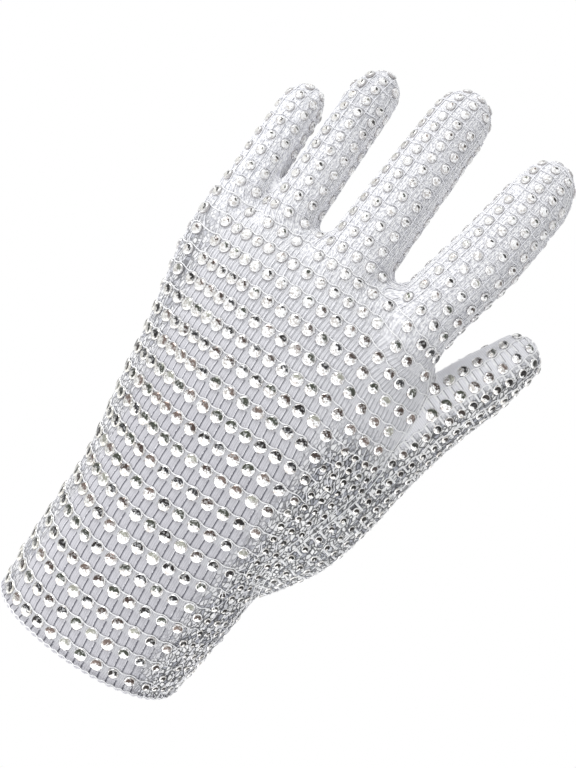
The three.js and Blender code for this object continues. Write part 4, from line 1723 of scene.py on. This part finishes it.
@dataclass
class Stones:
    """Cut stones glued on at every crossing of a row and a column.

    A stone's rings hold the radius, the height and the turn in steps, from the table to the foot.
    """

    form: GloveForm
    panels: dict[str, Panel]
    finish: StoneFinish = field(default_factory=StoneFinish)
    rings: tuple = ((1.2, 1.05, 0.0), (1.824, 0.84, 0.5), (2.2, 0.525, 0.0), (2.134, -0.35, 0.0))
    centre_up: float = 0.84
    sides: int = 8
    from_seam: float = 0.9
    apart: tuple[float, float] = (4.6, 3.3)
    seed: int = 7
    size_spread: float = 0.02
    tilt: float = 0.05
    thumb_bare: float = -6.3
    gathered_from: float = 0.5
    closer: tuple[float, float] = (1.6, 1.5)
    closer_thumb: tuple[float, float] = (1.3, 1.18)
    largest: float = 1.16
    less_on_fingers: Patch = Patch(((120, 178),), 0.34)
    less_in_gathers: Patch = Patch(((0.3, 0.8),), 0.4)
    less_at_side: Patch = Patch(((0.15, 0.5), (150, 120)), 0.2)

    def build(self) -> bpy.types.Object:
        """Makes all stones as one piece."""
        points, normals, gather = self._places()
        source = mesh_object("stones", points)
        z = points[:, 2]
        less = np.maximum(self.less_on_fingers.at(z), self.less_in_gathers.at(gather))
        size = (self.largest - less) * (1 - self.less_at_side.at(normals[:, 0], z))
        tops = (points + normals * (self.centre_up * size)[:, None]) * MM
        store(source, facing=normals, centre=tops, size=size, gather=gather)
        stone = self._stone()
        run_tree(source, stone_tree(), {
            "Stone": stone, "Size Spread": self.size_spread, "Tilt": self.tilt, "Seed": self.seed,
            "Material": self.finish.material(),
        })
        discard(stone)
        log.info("stones: %d, %d faces", len(points), len(source.data.polygons))
        return source

    def _places(self) -> tuple[np.ndarray, ...]:
        """Where stones sit, clear of seams and of each other.

        Returns:
            Places, outward directions, and how gathered the net is there.
        """
        found = []
        for panel in self.panels.values():
            closer = self.closer_thumb if panel.is_thumb else self.closer
            plain, close = panel.crossings(), panel.crossings(*closer)
            loose, tight = plain[2] < self.gathered_from, close[2] >= self.gathered_from
            places = [np.concatenate([a[loose], b[tight]]) for a, b in zip(plain, close)]
            if panel.is_thumb:
                place = self.form.tubes[Part.THUMB].locate(places[0])
                good = (place.from_back > self.thumb_bare) | (place.back_way < 0)
                places = [values[good] for values in places]
            tree = search_tree(panel.vertices[np.unique(panel.boundary())])
            clear = [tree.find(point)[2] >= self.from_seam for point in places[0]]
            found.append([values[np.array(clear, bool)] for values in places])
        kept, facing, folded = (np.concatenate(values) for values in zip(*found))
        tree = search_tree(kept)
        dropped = set()
        for i, point in enumerate(kept):
            if i not in dropped:
                reach = self.apart[int(folded[i] > self.gathered_from)]
                dropped.update(j for _, j, _ in tree.find_range(point, reach) if j > i)
        keep = [i for i in range(len(kept)) if i not in dropped]
        return kept[keep], facing[keep], folded[keep]

    def _stone(self) -> bpy.types.Object:
        """One stone: a flat table, two tiers of facets and a girdle that sits in its glue."""
        n = self.sides
        vertices = []
        for radius, height, turn in self.rings:
            angles = [2 * math.pi * (i + turn) / n for i in range(n)]
            vertices += [(radius * math.cos(a), radius * math.sin(a), height) for a in angles]
        faces = [(0, i, i + 1) for i in range(1, n - 1)]
        for i in range(n):
            a, b, c, d = range(i, 4 * n, n)
            a2, b2, c2, d2 = range((i + 1) % n, 4 * n, n)
            faces += [(a, b, a2), (a2, b, b2), (b, c, c2), (b, c2, b2), (c, d, d2), (c, d2, c2)]
        return mesh_object("stone_pattern", np.array(vertices), faces)


@dataclass
class Threads:
    """Threads of the glove: one along every row of stones, the net's, and the seams'.

    A thread's size is its radius, the spacing of its rings and how many sides it has.
    """

    fabric: FabricPanels
    grid: StoneGrid
    tree: Nodes = None
    row_size: tuple[float, float, int] = (0.21, 1.0, 5)
    net_size: tuple[float, float, int] = (0.19, 1.3, 4)
    seam_size: tuple[float, float, int] = (0.22, 1.2, 4)
    over: tuple[float, float] = (1.6, 0.36)
    over_most: float = 0.42
    hug: float = 2.6
    rows_until: float = 0.8
    row_lift: float = 0.36
    narrow_row_lift: float = 0.28
    wide_pitch: float = 6.5
    net_lift: tuple[float, float] = (-0.12, 0.24)
    net_proud: tuple[float, float] = (9.0, 19.0)
    net_aside: float = 0.05
    net_shifts: tuple = (0.12, -0.38)
    thumb_net_shifts: tuple = (0.13, 0.19, -0.37, -0.31)
    from_stone: float = 2.1
    from_row: float = 1.9
    from_thumb_row: float = 1.4
    fine_pitch: float = 6.6
    gathered_from: float = 0.5
    gathered_shifts: tuple = (0.3, 0.55, 0.8)
    gathered_lifts: tuple = (0.2, 0.35, 0.5)
    waver: float = 0.14
    waver_pitches: tuple = (5.0, 7.0, 9.0)
    break_pitches: tuple = (1.1, 1.3, 1.5)
    break_shift: float = 2.1
    breaks_below: float = -0.2
    seam_apart: float = 0.75
    seam_lift: float = 0.12
    seam_clear: float = 0.8

    def build(self) -> list[bpy.types.Object]:
        """Makes the three kinds of thread."""
        self.tree = thread_tree()
        bright = ThreadFinish("row_thread").material()
        fine = ThreadFinish("net_thread", colour="F4F4F8", roughness=0.45).material()
        rows, nets = [], []
        for panel in self.fabric.panels.values():
            wide, narrow = self._rows(panel)
            rows.append(wide)
            nets.append(narrow)
            (rows if panel.is_thumb else nets).extend(self._net(panel))
        return [
            self._laid("row_threads", rows, self.row_size, bright),
            self._laid("net_threads", nets, self.net_size, fine),
            self._laid("seam_threads", self._seams(), self.seam_size, bright),
        ]

    def _laid(
        self, name: str, parts: list[Lines], size: tuple[float, float, int], material: bpy.types.Material
    ) -> bpy.types.Object:
        """Threads along lines as one piece."""
        radius, spacing, sides = size
        starts = np.cumsum([0] + [len(part.points) for part in parts])
        segments = np.concatenate([part.segments + start for part, start in zip(parts, starts)])
        obj = mesh_object(name, np.concatenate([part.points for part in parts]), (), segments)
        run_tree(obj, self.tree, {
            "Radius": radius * MM, "Spacing": spacing * MM, "Sides": sides, "Material": material,
        })
        log.info("%s: %d faces", name, len(obj.data.polygons))
        return obj

    def _rows(self, panel: Panel) -> tuple[Lines, Lines]:
        """The thread that arches over the stones of every row: wide rows, then narrow ones."""
        pitch = panel.row_pitch[:, None]
        beside = (panel.column - np.round(panel.column)) * panel.column_pitch[:, None]
        swell = 1 + np.cos(math.pi * np.clip(beside / self.hug, -1, 1))
        low, extra = self.over
        off = np.minimum(low + extra * swell, self.over_most * pitch)
        lines = panel.lines(panel.row - off / pitch, panel.gather[panel.triangles])
        lines = lines.only(lines.other < self.rows_until)
        if panel.is_thumb:
            lines = self._off_bare_strip(lines)
        along = panel.row_pitch.min() if panel.is_thumb else self.grid.pitch_of_row(lines.level)
        wide = np.broadcast_to(along > self.wide_pitch, len(lines.level))
        return lines.only(wide).lifted(self.row_lift), lines.only(~wide).lifted(self.narrow_row_lift)

    def _net(self, panel: Panel) -> list[Lines]:
        """The net's upright threads: sunk between the rows of the body, proud on the fingers."""
        found = []
        sunk, proud = self.net_lift
        column_pitch = float(panel.column_pitch.mean())
        for shift in self.thumb_net_shifts if panel.is_thumb else self.net_shifts:
            lines = panel.lines(panel.column + shift + self.net_aside, panel.row)
            from_row = np.abs(lines.other - np.round(lines.other))
            if panel.is_thumb:
                lines = lines.only(from_row * panel.row_pitch.min() > self.from_thumb_row)
                found.append(self._off_bare_strip(lines).lifted(proud))
                continue
            pitch = self.grid.pitch_of_row(lines.other)
            up = from_row * pitch
            side = (shift if shift > 0 else 1 + shift) * column_pitch
            near = np.hypot(up, min(side, column_pitch - side))
            fine = pitch < self.fine_pitch
            lines = lines.only(np.where(fine, near > self.from_stone, up > self.from_row))
            found.append(lines.lifted(sunk + (proud - sunk) * smooth_step(*self.net_proud, lines.other)))
        return found if panel.is_thumb else found + self._gathered_net(panel)

    def _gathered_net(self, panel: Panel) -> list[Lines]:
        """More of the net's threads where it is gathered at the wrist and the thumb's root."""
        gather = panel.gather[panel.triangles]
        found = []
        kinds = zip(self.gathered_shifts, self.gathered_lifts, self.waver_pitches, self.break_pitches)
        for step, (shift, lift, wavers, breaks) in enumerate(kinds):
            waver = self.waver * np.sin(panel.row * wavers + 2 * step)
            lines = panel.lines(panel.column + shift + waver, gather)
            there = np.sin(lines.points[:, 2] * breaks + self.break_shift * lines.level) > self.breaks_below
            found.append(lines.only((lines.other > self.gathered_from) & there).lifted(lift))
        return found

    def _off_bare_strip(self, lines: Lines) -> Lines:
        """Lines without those on the thumb's smooth strip."""
        place = self.grid.form.tubes[Part.THUMB].locate(lines.points)
        return lines.only((place.from_back > self.fabric.bare_thumb_arc) | (place.back_way < 0))

    def _seams(self) -> list[Lines]:
        """Two lines of stitching along every seam."""
        skin = self.fabric.skin
        f, t = skin.fields, skin.triangles
        whole = Panel("skin", skin.vertices, self.fabric.normals, t, None, None, None, None)
        strips = np.min([f[name] for name, _, _ in FOURCHETTES], axis=0)
        clear = np.minimum(strips, f["thumb_edge"])
        found = []
        for edge, limit in ((f["side_edge"], clear), (strips, f["thumb_edge"]), (f["thumb_edge"], None)):
            for sign in (-1, 1):
                values = (edge[t] - sign * self.seam_apart) * 0.5
                lines = whole.lines(values, (edge if limit is None else limit)[t])
                keep = lines.level == 0
                if limit is not None:
                    keep &= lines.other > self.seam_clear
                found.append(lines.only(keep).lifted(self.seam_lift))
        return found


@dataclass
class Hem:
    """The rolled hem of the wrist opening, scalloped by the net's threads that end in it."""

    form: GloveForm
    # The hem's knit takes painted shade, 4E4E58, in the grooves between the net's threads
    finish: KnitFinish = field(default_factory=lambda: KnitFinish("hem_knit", "BFBEC4", "4E4E58", "BFBEC4"))
    height: float = 2.8
    thickness: float = 2.8
    inset: float = 0.8
    scallops: int = 62
    bulge: float = 0.7
    full_from: float = 0.6
    outer_share: float = 0.4
    steps: int = 8
    sides: int = 14
    thread_radius: float = 0.2
    thread_spacing: float = 0.6
    thread_out: float = 0.75
    thread_up: float = 1.26
    thread_wave: float = 0.25
    net_place: tuple[float, float] = (-0.12, 0.5)

    def build(self, tree: Nodes) -> list[bpy.types.Object]:
        """Makes the roll and the wavy thread on it.

        Args:
            tree: the tree that lays threads.

        Returns:
            The roll and the thread.
        """
        body = self.form.tubes[Part.BODY]
        k = int(np.argmin(np.abs(body.stations)))
        ahead = body.ahead[k]
        count = self.scallops * self.steps
        ring = self._opening(body, k, count)
        outward = unit(np.cross(unit(np.roll(ring, -1, 0) - np.roll(ring, 1, 0)), ahead))
        if ((ring[0] - body.centres[k]) * outward[0]).sum() < 0:
            outward = -outward
        roll = self._roll(ring, outward, ahead)
        wave = np.sin(2 * math.pi * np.arange(count) / self.steps)
        up = self.thread_up + self.thread_wave * wave
        line = ring + outward * self.thread_out + ahead * up[:, None]
        edges = np.stack([np.arange(count), (np.arange(count) + 1) % count], axis=1)
        thread = mesh_object("hem_thread", line, (), edges)
        run_tree(thread, tree, {
            "Radius": self.thread_radius * MM, "Spacing": self.thread_spacing * MM, "Sides": 5,
            "Material": ThreadFinish("hem_stitching").material(),
        })
        log.info("hem: %d faces", len(roll.data.polygons))
        return [roll, thread]

    def _roll(self, ring: np.ndarray, outward: np.ndarray, ahead: np.ndarray) -> bpy.types.Object:
        """The roll, fuller outside and below between two threads.

        Args:
            ring: places round the wrist opening.
            outward: directions square to the opening's edge at them.
            ahead: the direction of the glove's path.

        Returns:
            The roll's object.
        """
        count, sides = len(ring), self.sides
        full = np.abs(np.sin(math.pi * np.arange(count) / self.steps)) - self.full_from
        points = []
        for i in range(sides):
            turn = 2 * math.pi * i / sides
            outer = self.outer_share * max(math.cos(turn), 0.0)
            swell = self.bulge * full * (max(-math.sin(turn), 0.0) + outer)
            wide = self.thickness / 2 * math.cos(turn) - self.inset
            tall = self.height / 2 + self.height / 2 * math.sin(turn)
            out = outward * (wide + self.bulge * full * outer)[:, None]
            points.append(ring + out + ahead * (tall - swell)[:, None])
        i = np.repeat(np.arange(count), sides)
        j = np.tile(np.arange(sides), count)
        i2, j2 = (i + 1) % count, (j + 1) % sides
        faces = np.stack([i, i2, i2, i], axis=1) * sides + np.stack([j, j, j2, j2], axis=1)
        roll = mesh_object("hem_roll", np.stack(points, axis=1).reshape(-1, 3), faces)
        shift, row = self.net_place
        columns = np.stack([i, i + 1, i + 1, i], axis=1).ravel() / (2 * self.steps) + shift
        store_net_place(roll, np.stack([columns, np.full(columns.shape, row)], axis=1))
        roll.data.shade_smooth()
        roll.data.materials.append(self.finish.material())
        return roll

    @staticmethod
    def _opening(body: Tube, k: int, count: int, sides: int = 720) -> np.ndarray:
        """Evenly spaced points round the wrist opening, read from a ring with many sides."""
        fine = body.rings(sides)[k]
        closed = np.vstack([fine, fine[:1]])
        run = np.concatenate([[0], np.cumsum(np.linalg.norm(np.diff(closed, axis=0), axis=1))])
        at = np.linspace(0, run[-1], count, endpoint=False)
        return np.stack([np.interp(at, run, closed[:, c]) for c in range(3)], axis=1)


@dataclass
class Studio:
    """Camera, lights, surroundings and floor."""

    azimuth: float = 15.0
    roll: float = 35.0
    distance: float = 723.0
    target: tuple[float, float, float] = (13.74, -25.0, 113.5)
    lens: float = 100.0
    sensor: float = 36.0
    light_distance: float = 1200.0
    lights: tuple = (("key", (-0.9, -0.6, 0.9), 0.6, 5.5), ("fill", (-0.1, -1.0, -0.1), 1.2, 0.8))
    glow: float = 0.74
    glow_tilt: tuple[float, float, float] = (-0.32, 0.0, 0.36)
    dapple: tuple[float, float, float, float] = (0.38, 0.55, 0.7, 1.12)
    air: str = "FDFEFF"
    backdrop: str = "FFFFFF"
    floor_half: float = 1500.0
    floor_depth: float = -800.0

    def build(self) -> None:
        """Makes the whole studio."""
        self._camera()
        self._lights()
        self._surroundings()
        self._floor()
        view = bpy.context.scene.view_settings
        view.view_transform = "Standard"
        view.look = "None"

    def _camera(self) -> None:
        """The camera, rolled as the glove leans in the picture."""
        a, r = math.radians(self.azimuth), math.radians(self.roll)
        right = Vector((math.cos(a), math.sin(a), 0))
        up = Vector((0, 0, 1))
        back = Vector((math.sin(a), -math.cos(a), 0))
        across = right * math.cos(r) + up * math.sin(r)
        upward = up * math.cos(r) - right * math.sin(r)
        data = bpy.data.cameras.new("camera")
        data.lens = self.lens
        data.sensor_fit = "VERTICAL"
        data.sensor_height = self.sensor
        data.clip_start = 0.02
        data.clip_end = 100
        camera = add_object("camera", data)
        place = Vector(self.target) * MM + back * self.distance * MM
        turn = Matrix((across, upward, back)).transposed().to_4x4()
        camera.matrix_world = Matrix.Translation(place) @ turn
        bpy.context.scene.camera = camera

    def _lights(self) -> None:
        """A broad key from the upper left and a weak fill."""
        for name, way, size, power in self.lights:
            data = bpy.data.lights.new(name, "AREA")
            data.size = size
            data.energy = power
            aim = Vector(way).normalized()
            light = add_object(name, data)
            light.location = Vector(self.target) * MM + aim * self.light_distance * MM
            light.rotation_euler = aim.to_track_quat("Z", "Y").to_euler()

    def _surroundings(self) -> None:
        """White all round for the camera and in reflections, and brighter from the upper left."""
        world = bpy.data.worlds.new("surroundings")
        world.use_nodes = True
        bpy.context.scene.world = world
        world.node_tree.nodes.clear()
        nodes = Nodes(world.node_tree)
        way = nodes.add("ShaderNodeTexCoord").outputs["Generated"]
        glow = nodes.math("ADD", nodes.vector("DOT_PRODUCT", way, self.glow_tilt), self.glow)
        noise = nodes.out("ShaderNodeTexNoise", {"Vector": way, "Scale": 4.0, "Detail": 2.0})
        path = nodes.add("ShaderNodeLightPath").outputs
        strength = nodes.blend(path["Is Glossy Ray"], glow, nodes.ramp(noise, *self.dapple))
        lit = nodes.out("ShaderNodeBackground", {"Color": linear(self.air), "Strength": strength})
        plain = nodes.out("ShaderNodeBackground", {"Color": linear(self.backdrop), "Strength": 1.0})
        mix = nodes.out("ShaderNodeMixShader", {0: path["Is Camera Ray"], 1: lit, 2: plain})
        nodes.add("ShaderNodeOutputWorld", {"Surface": mix})

    def _floor(self) -> None:
        """A plain white floor far below."""
        signs = ((-1, -1), (1, -1), (1, 1), (-1, 1))
        corners = [(x * self.floor_half, y * self.floor_half, self.floor_depth) for x, y in signs]
        floor = mesh_object("floor", corners, [(0, 1, 2, 3)])
        floor.data.materials.append(FloorFinish().material())


# Each sheet: the node that it stands for, and the flat piece that it is cut from in metres
SHEETS = {
    "fabric_back": ("back_panel", (0.105, 0.215)),
    "fabric_palm": ("palm_panel", (0.105, 0.215)),
    "fabric_thumb": ("thumb_panel", (0.07, 0.125)),
    "fabric_strip_ring_little": ("fourchette_ring_little", (0.015, 0.045)),
    "fabric_strip_middle_ring": ("fourchette_middle_ring", (0.016, 0.06)),
    "fabric_strip_index_middle": ("fourchette_index_middle", (0.017, 0.06)),
}
REPLACED = {name: node for name, (node, _) in SHEETS.items()} | {"hem_roll": "cuff_hem"}


def declare(piece: bpy.types.Object) -> None:
    """Attaches a piece to the glove's body and hides the CAD node that it stands for."""
    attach(piece, BODY_OF_GLOVE)
    if piece.name in REPLACED:
        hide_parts(REPLACED[piece.name])


def main() -> None:
    """Builds the glove and its studio."""
    logging.basicConfig(level=logging.INFO, format="%(name)s: %(message)s")
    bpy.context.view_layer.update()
    Studio().build()
    form = GloveForm().build()
    grid = StoneGrid(form)
    fabric = FabricPanels(form, grid)
    pieces = fabric.build()
    for piece in pieces:
        declare(piece)
    threads = Threads(fabric, grid)
    for piece, slot in zip(threads.build(), ("row_thread", "net_thread", "row_thread")):
        declare(piece)
    declare(Stones(form, fabric.panels).build())
    for piece, slot in zip(Hem(form).build(threads.tree), ("hem_fabric", "row_thread")):
        declare(piece)
    for piece in pieces:
        log.info("%s: area %.5f m2", piece.name, fabric.panels[piece.name].area())


if __name__ == "__main__":
    main()
